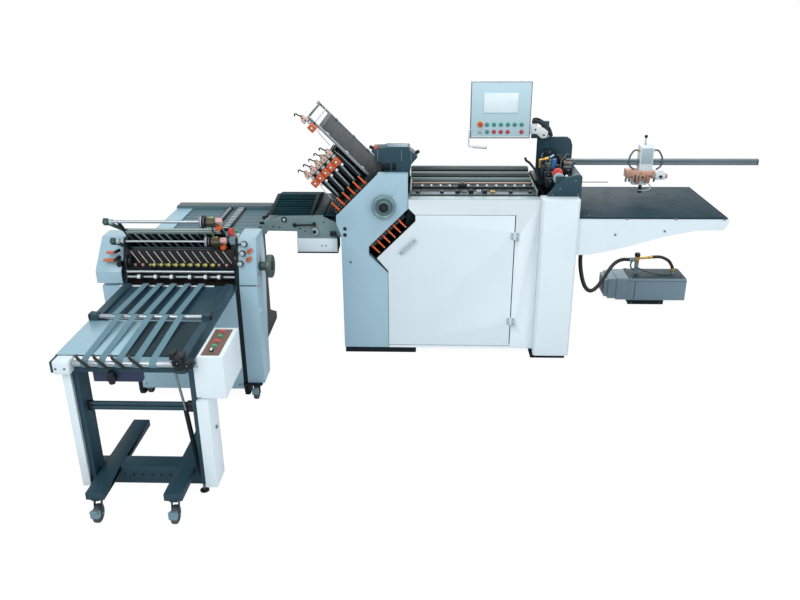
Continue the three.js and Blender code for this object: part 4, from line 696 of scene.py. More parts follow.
class FOLDER_OT_handwheels(Step, label="Handwheels and rollers"):
    """Handwheels with their shafts, and the rollers that they turn"""

    @staticmethod
    def wheel(work, origin, axis, radius, thick, look):
        """A dished wheel whose face looks down the axis from the origin"""
        rim = radius * 0.3
        work.turned([(radius * 0.36, 3), (radius - rim - 5, 20), (radius - rim, 8), (radius - rim + 6, 2),
                     (radius - 8, 0), (radius - 2, 3), (radius, 9), (radius, thick - 8), (radius - 2, thick - 3),
                     (radius - 8, thick), (0, thick)], origin, axis, look, sides=72)
        work.turned([(0, 0), (radius * 0.3, 0), (radius * 0.38, 2), (radius * 0.42, 6), (radius * 0.42, 20),
                     (0, 20)], origin, axis, "black_plastic", sides=48)
        work.turned([(0, -1), (radius * 0.12, -1), (radius * 0.14, 0), (radius * 0.14, 4), (0, 4)], origin, axis,
                    "black_rubber", sides=24)

    @staticmethod
    def sleeves(work, axis, place, start, pitch, length, radius, look):
        """Twelve sleeves along a roller, by turns of metal and rubber"""
        for i, low in enumerate(row(start, pitch, 12)):
            work.bar(axis, place, low, low + length, radius, "black_rubber" if i % 2 else look, 0.8, sides=40)

    def build(self, context):
        work = Work()
        self.wheel(work, (-255, -42, 1007), BACK, 73, 36, "wheel_grey")
        work.bar("y", HEAD_AXIS, -8, 77.3, 12, "bright_steel", sides=32)
        work.bar("y", HEAD_AXIS, -4, -1, 30, "black_plastic", sides=40)
        work.done("handwheel", "main_drive", ["main_handwheel"])
        step = 40.3 / ROOT2
        below = (HEAD_AXIS[0] - step, HEAD_AXIS[1] - step)
        for name, node_name, body, place, journal in (
                ("first_roller", "fold_roller_1", "main_drive", HEAD_AXIS, 77.7),
                ("second_fold_roller", "fold_roller_2", "second_roller", below, 64)):
            work = Work()
            work.bar("y", place, journal, 632, 8, "bright_steel")
            self.sleeves(work, "y", place, 78, 45.1, 44.8, 20, "steel_across")
            work.done(name, body, [node_name])
        work = Work()
        work.bar("y", DRUM_AXIS, 64, 633, 8, "bright_steel")
        for y in row(78, 108.4, 5):
            work.bar("y", DRUM_AXIS, y, y + 106, 38, "aluminium", 1.5, sides=48)
            for k in range(10):
                turn = 2 * math.pi * k / 10
                out = Vector((math.cos(turn), 0, math.sin(turn)))
                for j in range(3):
                    hole = Vector((885, y + 25 + 28 * j, 990)) + out * 37.6
                    work.rod(hole, hole + out * 0.7, 5, "black_plastic", sides=10)
        work.done("drum", "drum", ["suction_drum"])
        work = Work()
        self.wheel(work, (-856, -510, 800), (-1, 0, 0), 66, 36, "wheel_green")
        work.bar("x", SECOND_AXIS, -932, -892, 26, "shaft_green", 2, sides=40)
        work.bar("x", SECOND_AXIS, -1660, -880, 15, "bright_steel", sides=32)
        self.sleeves(work, "x", SECOND_AXIS, -1664.5, 50.35, 50, 24, "steel")
        work.done("side_handwheel", "unit2_drive", ["unit2_handwheel"])


class FOLDER_OT_levers(Step, label="Levers"):
    """Orange levers above the head and in the slot under it"""

    @staticmethod
    def lever(work, along, across, way):
        tip = along + way * 60
        side = [(across - 6, along - way * 6), (across - 5.6, along + way * 12), (across - 4.6, tip - way * 10),
                (across - 4.8, tip), (across + 4.8, tip), (across + 4.6, tip - way * 10),
                (across + 5.6, along + way * 12), (across + 6, along - way * 6)]
        work.plate(side, "y", 3.2, 12, "lever_orange", 1.8)
        work.bar("y", (across, along), 2.6, 19.6, 8.4, "lever_orange", 1.4, sides=28)
        work.bar("y", (across, along), 0.6, 3, 4.6, "black_plastic", 0.6, sides=16)
        ends = sorted((tip, tip - way * 6))
        work.block((across - 4.6, 2.6, ends[0]), (across + 4.6, 12.4, ends[1]), "tip_mustard", 1.2)

    def build(self, context):
        for i in range(LEVERS):
            for name, body, (along, across), way in (("top_lever", "upper_lever", UPPER_PIVOT, 1),
                                                     ("slot_lever", "lower_lever", LOWER_PIVOT, -1)):
                work = Work(MAIN_SLANT)
                self.lever(work, along, across - HEAD_PITCH * i, way)
                work.done(f"{name}_{i + 1}", f"{body}_{i + 1}", [f"{body}_{i + 1}"])
        work = Work(MAIN_SLANT)
        for along, across in (UPPER_PIVOT, LOWER_PIVOT):
            for i in range(LEVERS):
                spot = across - HEAD_PITCH * (i + 0.5)
                if spot < 290:
                    continue
                work.block((spot - 8, 9, along - 7), (spot + 8, 20.5, along + 9), "black_plastic", 1.5)
                work.screw((spot, 9, along + 1), 4, height=1.6)
        work.done("lever_clamps")


class FOLDER_OT_plates(Step, label="Fold plates"):
    """Long and short fold plates with their stops, counters, rods and cranks"""

    @staticmethod
    def stop(work, a, end):
        """The stop's bracket, crank and counter at the upper left of a plate"""
        work.block((a - 23, PLATE_FRONT - 6, end - 112), (a - 4, PLATE_FRONT + 12, end - 40), "black_paint", 2)
        bracket = [(a - 44, end - 50), (a - 4, end - 50), (a - 4, end - 28), (a - 10, end - 20), (a - 10, end),
                   (a - 30, end), (a - 36, end - 16), (a - 44, end - 22)]
        work.plate(bracket, "y", 52, PLATE_FRONT, "pale_pink", 2)
        raised = [(a - 40, end - 44), (a - 12, end - 44), (a - 14, end - 8), (a - 28, end - 8), (a - 40, end - 28)]
        work.plate(raised, "y", 45, 53, "pale_pink", 2)
        for across, along in ((a - 20, end - 36), (a - 24, end - 16)):
            work.screw((across, 45, along), 4.4, "black_plastic", height=3)
        work.tube([(a - 18, 50, end - 4), (a - 28, 45, end + 14), (a - 30, 44, end + 28), (a - 40, 44, end + 32),
                   (a - 46, 45, end + 22)], 4, "black_plastic", 5, sides=3)
        work.block((a - 48, 46, end - 119), (a - 5, 77, end - 72), "lever_orange", 4)
        work.turned([(7.4, 0), (10, 0), (10.8, 0.8), (10.8, 3), (7.4, 3)], (a - 27, 43.6, end - 95), BACK,
                    "black_plastic")
        work.bar("y", (a - 27, end - 95), 44.4, 47, 7.4, "white_plastic")
        work.block((a - 25, 50, end - 70), (a - 5, 84, end - 55), "pale_grey", 2)
        work.block((a - 22, 54, end - 140), (a - 8, 76, end - 124), "white_plastic", 2)
        work.rod((a - 20, 60, end - 139), (a - 29, 60, end - 244), 2.5, "bright_steel", sides=10)

    @staticmethod
    def rails(work, across, start, end, look):
        for y in (PLATE_FRONT, PLATE_BACK - 14):
            work.block((across - 7, y, start), (across + 7, y + 14, end), look, 1.2)

    def build(self, context):
        across = LONG_PLATE
        work = Work(MAIN_SLANT)
        self.rails(work, across, 1000, 1588, "steel")
        for low, high in ((1476, 1502), (1574, 1588)):
            work.block((across - 7, PLATE_FRONT + 14, low), (across + 7, PLATE_BACK - 14, high), "black_paint", 1.5)
        work.block((across - 3, PLATE_FRONT + 10, 1000), (across + 3, PLATE_BACK - 10, 1490), "ribbed_sheet", 0.8)
        work.bar("y", (across, 1530), PLATE_FRONT, PLATE_BACK, 5, "bright_steel", sides=16)
        work.turned([(0, 0), (10, 0), (13, 3), (13, 12), (9, 16), (0, 16)], (across, PLATE_BACK - 12, 1586), UP,
                    "pale_grey")
        for along in (1130, 1260, 1420):
            for y in (PLATE_FRONT - 1, PLATE_BACK - 17):
                work.block((across + 5, y, along), (across + 12, y + 16, along + 22), "pale_grey", 1.2)
        self.stop(work, across, 1618)
        work.done("long_plate", "main_unit", ["long_fold_plate"])
        work = Work(MAIN_SLANT)
        for i in range(1, 6):
            spot = across - HEAD_PITCH * i
            self.rails(work, spot, 1000, 1335, "black_paint")
            work.block((spot - 3, PLATE_FRONT + 10, 1000), (spot + 3, PLATE_BACK - 10, 1329), "black_paint", 0.8)
            for y in (150, 262, 374, 486):
                work.block((spot + 2, y, 1010), (spot + 5, y + 9, 1322), "grey_paint", 0.8)
            work.block((spot - 7, PLATE_FRONT, 1321), (spot + 7, PLATE_BACK, 1335), "black_paint", 1.2)
            work.tube([(spot + 10, PLATE_FRONT + 2, 1120), (spot + 15, PLATE_FRONT - 4, 1200),
                       (spot + 13, PLATE_FRONT, 1290), (spot + 8, PLATE_FRONT + 4, 1330)], 2.4, "bright_steel", 5,
                      sides=3)
            self.stop(work, spot, 1377)
        for y in (PLATE_FRONT, PLATE_BACK - 14):
            work.block((344, y, 1000), (546, y + 14, 1014), "black_paint", 1.2)
        work.done("short_plates", "main_unit", ["short_fold_plates"])
        Work().solid("lower_fold_plates", "plate_steel", 0.8).done("lower_plates")


class FOLDER_OT_hood(Step, label="Noise hood"):
    """Noise hood with its knobs and window strips"""

    def build(self, context):
        work = Work().solid("hood", "slate_paint", 3)
        work.block((-236, 94, 1350.6), (-112, 210, 1352), "hood_edge", 0.6)
        for x0, x1 in ((-258, -221), (-203, -184)):
            work.block((x0 - 3, 91, 1209), (x1 + 3, 92.6, 1253), "black_paint", 0.6)
            work.block((x0, 91.2, 1212), (x1, 92.9, 1250), "window_pale", 0.6)
        for x in (-296, -150, -92):
            work.block((x, 91, 1262), (x + 4, 92.5, 1330), "hood_edge", 0.6)
        for spot, way in (((-316, 104, 1338), (-0.8, -0.25, 0.5)), ((-66, 100, 1310), (0.75, -0.25, 0.55))):
            work.turned([(0, 0), (6, 0), (6, 10), (10, 12), (11, 15), (11, 27), (8, 31), (0, 31)], spot, way,
                        "black_plastic")
        work.block((-314, 90, 1338), (-297, 104, 1360), "lever_orange", 2)
        work.done("noise_hood", "hood")


class FOLDER_OT_register(Step, label="Register table"):
    """Register table with its rails, marbles and side guide"""

    def build(self, context):
        radius = context.scene.folder_sizes.ball_radius * 1000
        work = Work().solid("register_table", "bronze_grey", 1)
        work.block((-92, 596, 1112), (684, 630, 1116.5), "slate_paint")
        for y, z, r, look in ((513, 1088, 15, "bronze_grey"), (392, 1080, 12, "grey_paint"),
                              (321, 1074, 4, "pale_pink"), (448, 1084, 4, "black_paint"),
                              (560, 1100, 7, "black_paint")):
            work.bar("x", (y, z), -96, 686, r, look)
        for x in (-94, 676):
            for y0, y1, top in ((310, 332, 1082), (440, 456, 1092), (548, 572, 1110)):
                work.block((x, y0, 1040), (x + 8, y1, top), "black_paint", 1.5)
        work.block((-90, 226, 1060), (684, 262, 1071), "black_paint", 1.5)
        for i, x in enumerate(row(-23, 58.7, 13)):
            if i == SIDE_GUIDE_PLACE:
                continue
            work.bar("z", (x, 244), 1070, 1073, radius + 4, "aluminium", 1, sides=20)
            work.ball((x, 244, 1075), radius, "white_plastic")
        work.block((205, 216, 1066), (257, 268, 1092), "black_plastic", 3)
        work.bar("z", (231, 242), 1092, 1100, 9, "aluminium", 1.5, sides=20)
        work.block((-92, 116, 1047.4), (684, 196, 1053), "aluminium")
        for x, y, high, look in ((184, 128, 1070, "black_plastic"), (228, 146, 1064, "bronze_grey"),
                                 (268, 124, 1074, "black_paint"), (318, 150, 1066, "pale_grey"),
                                 (352, 128, 1072, "black_plastic"), (404, 146, 1064, "brass")):
            work.block((x, y, 1052), (x + 30, y + 34, high), look, 3)
            work.screw((x + 15, y + 16, high), 5, facing=UP)
        for x in (-60, 90, 520, 640):
            work.block((x, 134, 1052), (x + 22, 166, 1066), "black_plastic", 2)
        for x in row(-80, 49, 16):
            work.bar("y", (x, 1046), 268, 586, 5, "steel_across", sides=14)
        work.done("register_deck")


class FOLDER_OT_feed_head(Step, label="Feed head"):
    """Feed head with its plates, valves, knobs and wiring"""

    def build(self, context):
        work = Work().solid("feed_head_frame", "slate_paint", 1.5)
        for x, z in ((770, 1072), (815, 1110), (905, 1160), (925, 1075)):
            work.screw((x, 34, z), 5)
        work.block((792, 90, 1131), (838, 600, 1138), "aluminium")
        for y, look in ((180, "aluminium"), (290, "black_paint"), (455, "aluminium")):
            work.block((786, y, 1136), (846, y + 52, 1172), look, 3)
            work.bar("z", (816, y + 26), 1172, 1200, 9, "steel", 1, sides=20)
            work.turned([(0, 0), (13, 0), (15, 3), (15, 16), (12, 20), (0, 20)], (816, y + 26, 1198), UP,
                        "black_plastic", sides=24)
        work.rod((716, 300, 1226), (762, 300, 1234), 8, "brass", 1, sides=18)
        work.rod((752, 300, 1232), (776, 300, 1238), 12, "brass", 1, sides=6)
        work.bar("z", (722, 300), 1180, 1222, 7, "brass", sides=14)
        work.turned([(0, 0), (12, 0), (14, 3), (14, 58), (11, 62), (0, 62)], (810, 290, 1176), UP, "blue_plastic",
                    sides=24)
        work.rod((782, 292, 1246), (806, 290, 1262), 7, "light_blue", 2, sides=20)
        work.turned([(0, 0), (24, 0), (31, 3), (31, 9), (24, 12), (0, 12)], (806, 116, 1188), FRONT, "red_plastic",
                    sides=36)
        work.turned([(12, 0), (30, 0), (34, 4), (34, 10), (30, 14), (12, 14)], (812, 100, 1160), FRONT, "pale_grey",
                    sides=40)
        work.block((890, 385, 1178), (940, 420, 1200), "copper", 2)
        work.tube([(630, 330, 1236), (640, 330, 1216), (663, 330, 1200), (704, 320, 1146), (733, 310, 1066)], 8,
                  "black_rubber")
        for low, high in (((742, 120, 1090), (790, 170, 1150)), ((748, 210, 1100), (790, 262, 1168)),
                          ((748, 330, 1096), (790, 400, 1176)), ((846, 130, 1180), (898, 190, 1216)),
                          ((850, 440, 1178), (896, 520, 1226)), ((790, 540, 1178), (842, 600, 1240))):
            work.block(low, high, "black_paint", 4)
            work.screw(((low[0] + high[0]) / 2, low[1], high[2] - 14), 6)
        bracket = [(704, 1394), (776, 1376), (806, 1352), (802, 1312), (766, 1306), (732, 1336), (704, 1340)]
        work.plate(bracket, "y", 593, 599, "white_plastic", 1.5)
        for x, z in ((722, 1366), (780, 1330)):
            work.screw((x, 593, z), 6, "black_plastic")
        work.tube([(702, 612, 1416), (722, 612, 1421), (752, 612, 1408), (788, 612, 1380), (814, 612, 1350),
                   (832, 614, 1318)], 12, "black_rubber")
        work.tube([(702, 618, 1431), (736, 618, 1434), (790, 618, 1404), (822, 618, 1366), (840, 620, 1320)], 5,
                  "black_rubber")
        work.block((698, 330, 1046), (742, 600, 1092), "black_paint", 4)
        for i, (x, y) in enumerate(((770, 260), (860, 350), (900, 230), (905, 480), (760, 520))):
            work.tube([(x, y, 1150), (x + 10, y + 20, 1215), (x + 40, y + 60, 1228 - i * 6),
                       (x + 30, y + 100, 1180)], 4, "air_hose")
            work.bar("z", (x, y), 1136, 1158, 6, "brass", 1, sides=12)
        work.bar("x", (300, 1087), 985, 1162, 4, "bright_steel", sides=14)
        work.bar("x", (300, 1087), 940, 990, 9, "aluminium", 1, sides=18)
        work.block((950, 200, 1036), (975, 480, 1050), "aluminium", 1.5)
        work.done("feed_head")


class FOLDER_OT_panel(Step, label="Control panel"):
    """Control panel with its screen, buttons and emergency stop"""

    def build(self, context):
        front = PANEL_FRONT
        work = Work().solid("control_panel", "cabinet_white", 2.5)
        work.block((296, front - 1.2, 1322), (675, front + 1, 1672), "panel_blue")
        work.block((291, front - 1.4, 1316), (680, front + 1, 1320), "black_plastic", 0.6)
        work.block((294, front - 1.8, 1321), (677, front + 1, 1327), "white_plastic", 0.6)
        for x in (289.5, 678.5):
            work.block((x, front - 0.8, 1318), (x + 3, front + 2, 1676), "black_plastic", 0.6)
        work.block((292, front - 0.8, 1674), (679, front + 2, 1677), "black_plastic", 0.6)
        work.block((370, front - 4, 1478), (599, front - 0.5, 1610), "panel_blue", 2)
        work.block((374, front - 6.2, 1482), (595, front - 4.5, 1606), "screen", 0.8)
        for x in (398, 444, 489, 534, 579, 624):
            self.button(work, x, 1405, "button_teal")
        self.button(work, 400, 1358, "button_teal")
        for x in (445, 490, 535, 626):
            self.button(work, x, 1358, "button_crimson")
        work.block((341, front - 2.4, 1345), (367, front - 1, 1371), "black_plastic", 0.8)
        work.block((343, front - 5, 1347), (365, front - 1, 1369), "white_plastic", 1.5)
        work.bar("y", (354, 1358), front - 5, front - 9, 7, "steel", 0.8, sides=20)
        work.turned([(16.5, 0), (20.5, 0), (21.5, 1), (21.5, 2.4), (16.5, 2.4), (16.5, 0)], (354, front - 3.2, 1407),
                    BACK, "yellow_plastic", sides=40)
        work.tube([(288, 548, 1374), (283, 542, 1368), (281, 540, 1300), (283, 540, 1274), (292, 540, 1264),
                   (352, 540, 1264)], 6, "white_plastic")
        work.rod((308, 540, 1266), (396, 540, 1258), 12, "white_plastic", 3)
        work.rod((392, 540, 1258.3), (399, 540, 1257.7), 11, "black_plastic", 1)
        work.done("panel_box", "panel")
        work = Work()
        work.turned([(0, 0), (9, 0), (13.5, 2), (15.5, 5), (15.5, 10), (11, 12.6), (9, 12.6), (9, 34.5), (0, 34.5)],
                    (354, front - 19, 1407), BACK, "red_plastic", sides=40)
        work.done("stop_head", "stop_button", ["emergency_stop"])

    @staticmethod
    def button(work, x, z, look):
        spot = (x, PANEL_FRONT - 1, z)
        work.turned([(0, -1), (15, -1), (15.6, 0), (15.6, 2), (0, 2)], spot, BACK, "pale_grey")
        work.turned([(0, -4), (12.6, -4), (14, -3), (14, 1), (0, 1)], spot, BACK, look)


class FOLDER_OT_separator(Step, label="Separator"):
    """Sheet separator on the rail, with its lever and air hoses"""

    def build(self, context):
        work = Work().solid("separator_head", "cabinet_white", 2)
        work.block((1288, 350, 1098), (1464, 354, 1147), "copper", 1.5)
        work.plate([(1298, 1150), (1466, 1150), (1462, 1104), (1440, 1098), (1436, 1070), (1404, 1068),
                    (1398, 1086), (1376, 1086), (1370, 1064), (1340, 1066), (1330, 1094), (1300, 1098)], "y", 346,
                   350, "copper")
        for x0, x1, z0, z1 in ((1338, 1346, 1076, 1122), (1362, 1368, 1090, 1118), (1382, 1398, 1100, 1112),
                               (1410, 1414, 1082, 1124), (1424, 1450, 1112, 1118), (1308, 1326, 1106, 1112)):
            work.block((x0, 344.6, z0), (x1, 347, z1), "black_plastic", 0.8)
        for x in (1290, 1312, 1470):
            work.bar("z", (x, 372), 1096, 1072, 7, "steel", 1, sides=18)
        work.block((1289, 352, 1147), (1363, 430, 1150), "copper")
        work.block((1286, 356, 1100), (1291, 426, 1146), "copper")
        for x in (1310, 1376, 1454):
            work.screw((x, 346, 1136), 5, "brass")
        work.bar("z", (1388, 376), 1002, 1052, 10.5, "black_plastic", 1.5)
        work.turned([(0, 0), (13, 0), (15, 3), (15, 8), (11, 12), (0, 12)], (1388, 376, 1000), UP, "black_rubber")
        for side in (-1, 1):
            x = 1364 if side < 0 else 1450
            work.tube([(x, 396, 1270), (x + side * 34, 392, 1268), (x + side * 60, 386, 1225),
                       (x + side * 56, 380, 1175), (x + side * 26, 374, 1150)], 6, "air_hose")
            work.bar("x", (396, 1270), x - side * 4, x + side * 14, 8, "brass", 1, sides=6)
        work.block((1372, 358.4, 1190), (1442, 360.4, 1290), "pale_grey", 0.8)
        work.tube([(1426, 360, 1070), (1450, 352, 1040), (1420, 346, 1020), (1372, 350, 1020)], 4, "bright_steel")
        work.block((1534, 360, 1096), (1552, 392, 1122), "copper", 2)
        work.bar("y", (1505, 1110), 352, 340, 9, "black_plastic", 1.5, sides=20)
        work.done("separator_box", "separator")
        work = Work()
        work.bar("y", (1398, 1311.3), 388, 412, 5, "steel", sides=20)
        work.bar("z", (1398, 400), 1309.5, 1352, 3.9, "bright_steel", sides=20, tip=3)
        work.ball((1398, 400, 1357.3), 11, "black_plastic", sides=28)
        work.done("ball_lever", "separator_lever", ["separator_lever"])
        work = Work().solid("upper_rail", "aluminium", 1)
        work.block((2119, 380.5, 1175.5), (2121.8, 419.5, 1214.5), "black_plastic")
        work.done("rail")


class FOLDER_OT_feeder(Step, label="Feeder"):
    """Feeder table and the bracket under it"""

    def build(self, context):
        work = Work().solid("feeder_table", "table_black", 2)
        for x in (1000, 1790):
            for y in (10, 690):
                work.screw((x, y, 950), 5, height=0.8, facing=UP)
        work.done("flat_table")
        work = Work().solid("feeder_bracket", "cabinet_white", 2.5)
        work.turned([(24, 0), (27, 4), (27, 14), (24, 18)], (1019, 250, 622), UP, "black_rubber", sides=32)
        for x, z in ((1222, 939), (1514, 939), (1804, 938), (1161, 838), (1456, 862)):
            work.screw((x, -22, z), 7)
        work.done("table_bracket")


class FOLDER_OT_pump(Step, label="Vacuum pump"):
    """Vacuum pump with its caps, regulator and fittings"""

    def build(self, context):
        work = Work().solid("pump_body", "pump_grey", 6)
        work.block((1350, 905, 74), (1354, 1070, 172), "black_plastic", 2)
        for z in row(82, 13, 7):
            work.block((1351, 912, z), (1353.2, 1063, z + 5), "black_paint", 0.8)
        work.block((1527, 881, 207), (1950, 1094, 209.4), "pump_dark")
        work.block((1570, 863.6, 50), (1574, 866, 192), "black_paint", 0.6)
        work.block((1527, 863.8, 191), (1950, 866, 194), "pump_dark", 0.8)
        work.block((1532, 876, 2), (1800, 880, 40), "black_paint", 1.5)
        for x in (1560, 1770):
            work.screw((x, 876, 14), 5)
        for x, y in ((1545, 885), (1930, 885), (1545, 1090), (1930, 1090)):
            work.screw((x, y, 208), 7, facing=UP)
        work.turned([(0, 0), (19, 0), (21, 3), (21, 22), (18, 27), (0, 27)], (1600, 990, 345), UP, "black_plastic",
                    sides=32)
        work.bar("z", (1600, 990), 300, 346, 18, "brass", 1.5, sides=8)
        work.rod((1616, 990, 330), (1690, 990, 337), 9, "brass", sides=20)
        work.rod((1680, 990, 337), (1716, 990, 341), 13, "brass", 1.5, sides=6)
        work.tube([(1712, 990, 341), (1777, 990, 340), (1836, 990, 312), (1866, 990, 270), (1875, 990, 246)], 12,
                  "hose_rubber")
        work.bar("z", (1874, 990), 226, 250, 17, "brass", 1.5, sides=8)
        work.tube([(1600, 972, 262), (1640, 952, 250), (1730, 946, 226), (1830, 956, 214), (1868, 972, 214)], 6,
                  "air_hose")
        work.tube([(1600, 1004, 320), (1566, 1000, 300), (1560, 1000, 262), (1580, 996, 240), (1600, 990, 236)], 6,
                  "air_hose")
        work.done("vacuum_pump")


class FOLDER_OT_bridge(Step, label="Bridge"):
    """Bridge with its ribbed lid, electrical box, handle and cable"""

    def build(self, context):
        work = Work().solid("bridge_frame", "grey_paint", 1.5)
        work.turned([(10, 0), (17, 0), (19, 2), (19, 5), (10, 5)], (-889, 72.6, 896), BACK, "black_plastic", sides=32)
        work.turned([(0, 0), (9, 0), (11, 2), (11, 4), (0, 4)], (-889, 71.6, 896), BACK, "pale_grey", sides=32)
        work.bar("y", (-1012, 912), 77, 62, 12, "black_plastic", 2)
        work.block((-1046, 74, 866), (-1016, 90, 880), "black_paint", 2)
        work.block((-702, 96, 914), (-562, 602, 919), "teal_dark")
        work.block((-700, 84, 925), (-638, 606, 927.5), "teal_dark", 0.8)
        for x in row(-696, 19, 7):
            work.block((x, 100, 917), (x + 8, 598, 924), "ribbed_cover")
        work.rod((-823, 62, 863), (-700, 62, 868), 6, "black_plastic", 1, sides=18)
        for x, z in ((-823, 863), (-700, 868)):
            work.turned([(5, 0), (11, 0), (12, 2), (12, 16), (5, 16)], (x, 62, z), BACK, "black_plastic", sides=48)
        work.bar("y", (-697, 822), 77, 58, 24, "bright_steel", 3, sides=32)
        work.bar("y", (-697, 822), 58, 54, 12, "black_plastic", 1)
        work.block((-600, 60, 792), (-562, 78, 822), "black_plastic", 3)
        work.tube([(-566, 64, 800), (-552, 56, 780), (-552, 60, 730), (-553, 70, 690)], 4.5, "black_rubber")
        for x, z in ((-960, 850), (-920, 846), (-790, 838), (-760, 820), (-640, 880)):
            work.bar("y", (x, z), 77.8, 76.6, 5, "black_plastic", sides=18)
        work.block((-815, 73, 684), (-553, 79, 774), "cabinet_white", 2)
        for x in (-655, -630):
            work.screw((x, 73, 727), 5)
        work.block((-815, 68, 677), (-553, 84, 684), "black_paint", 1.5)
        work.bar("y", (-1000, 914), 80, 616, 9, "black_paint", sides=16)
        work.done("bridge")
        work = Work().solid("bridge_cover", "ribbed_cover", 1.5)
        rise = [(72, 927), (415, 970), (415, 976), (72, 933)]
        for x0, x1 in ((-984, -962), (-722, -704)):
            work.plate(rise, "x", x0, x1, "black_paint", 1.5)
        work.done("bridge_lid", "bridge_lid")


def leaning_face(z):
    """Where the right-angle unit's right cover has its front at a height"""
    return -605 + (z - 706) * 0.22


class FOLDER_OT_second_unit(Step, label="Right-angle unit"):
    """Right-angle unit: frame, side covers and register table"""

    def build(self, context):
        work = Work().solid("unit2_frame", "black_paint", 1.5)
        work.block((-1664, -602, 64), (-1061, -599.5, 698), "cover_blue")
        for x in (-1640, -1362, -1084):
            for z in (90, 670):
                work.screw((x, -602, z), 5)
        work.done("side_unit_frame", "unit2")
        work = Work().solid("unit2_right_cover", "cover_blue")
        work.block((-1033, -606.2, 714), (-937, -604, 719), "black_paint", 0.6)
        for x, z in ((-998, 944), (-1010, 894), (-1023, 838)):
            y = leaning_face(z)
            work.turned([(0, -34), (9, -34), (12, -31), (13, -26), (13, -14), (0, -14)], (x, y, z), (0, 0.97, -0.2),
                        "pale_grey")
            work.turned([(0, -15), (15, -15), (17, -11), (17, 3), (0, 3)], (x, y, z), (0, 0.97, -0.2),
                        "black_plastic")
            work.tube([(x - 12, y - 8, z - 4), (x - 24, y - 20, z + 6), (x - 36, y - 16, z - 6)], 5, "black_rubber")
        for x, z in ((-969, 913), (-975, 867)):
            y = leaning_face(z)
            hook = [(x - 15, z - 16), (x - 4, z - 18), (x + 14, z - 2), (x + 15, z + 16), (x + 4, z + 18),
                    (x + 2, z + 4), (x - 15, z - 6)]
            work.plate(hook, "y", y - 22, y - 9, "lever_orange", 3)
            work.bar("y", (x - 6, z - 8), y - 12, y + 4, 9, "black_plastic", sides=20)
        for z in (767, 699):
            work.bar("x", (-560, z), -937, -932, 8, "red_plastic", 1, sides=20)
        work.bar("x", (-570, 555), -936, -932, 9, "white_plastic", 1, sides=20)
        work.done("side_unit_right", "unit2")
        work = Work().solid("unit2_left_cover", "cover_blue")
        for x0, x1, y, z in ((-1776, -1731, -560, 893), (-1786, -1726, -590, 858)):
            work.block((x0, y - 10, z - 4), (x1, y + 20, z + 5), "lever_orange", 3)
            work.ball((x1 + 3, y + 4, z), 7, "black_plastic")
        work.bar("y", (-1712, 862), -590, -548, 12, "black_plastic", 3, sides=28)
        work.rod((-1716, -580, 902), (-1708, -540, 902), 9, "black_plastic", 2)
        work.rod((-1704, -590, 832), (-1698, -560, 832), 15, "black_plastic", 2)
        work.done("side_unit_left", "unit2")
        work = Work().solid("unit2_register_table", "table_teal", 0.8)
        work.block((-1688, -278, 855.6), (-1579, 458, 858), "light_blue", 1.2)
        work.block((-1688, 462, 870), (-1049, 558, 873.5), "beam_dark", 1.2)
        for x0, x1, y0, y1 in ((-1336, -1304, 180, 555), (-1270, -1216, -20, 548)):
            work.block((x0, y0, 850), (x1, y1, 868), "black_plastic", 3)
            for y in row(y0 + 10, 34, int((y1 - y0) / 34)):
                work.block((x0 + 8, y, 867), (x1 - 8, y + 16, 869), "pale_grey", 0.6)
        for x, y in ((-1060, -270), (-1060, 440), (-1560, -262), (-1560, 440)):
            work.screw((x, y, 850), 5, facing=UP)
        work.done("side_unit_table", "unit2")


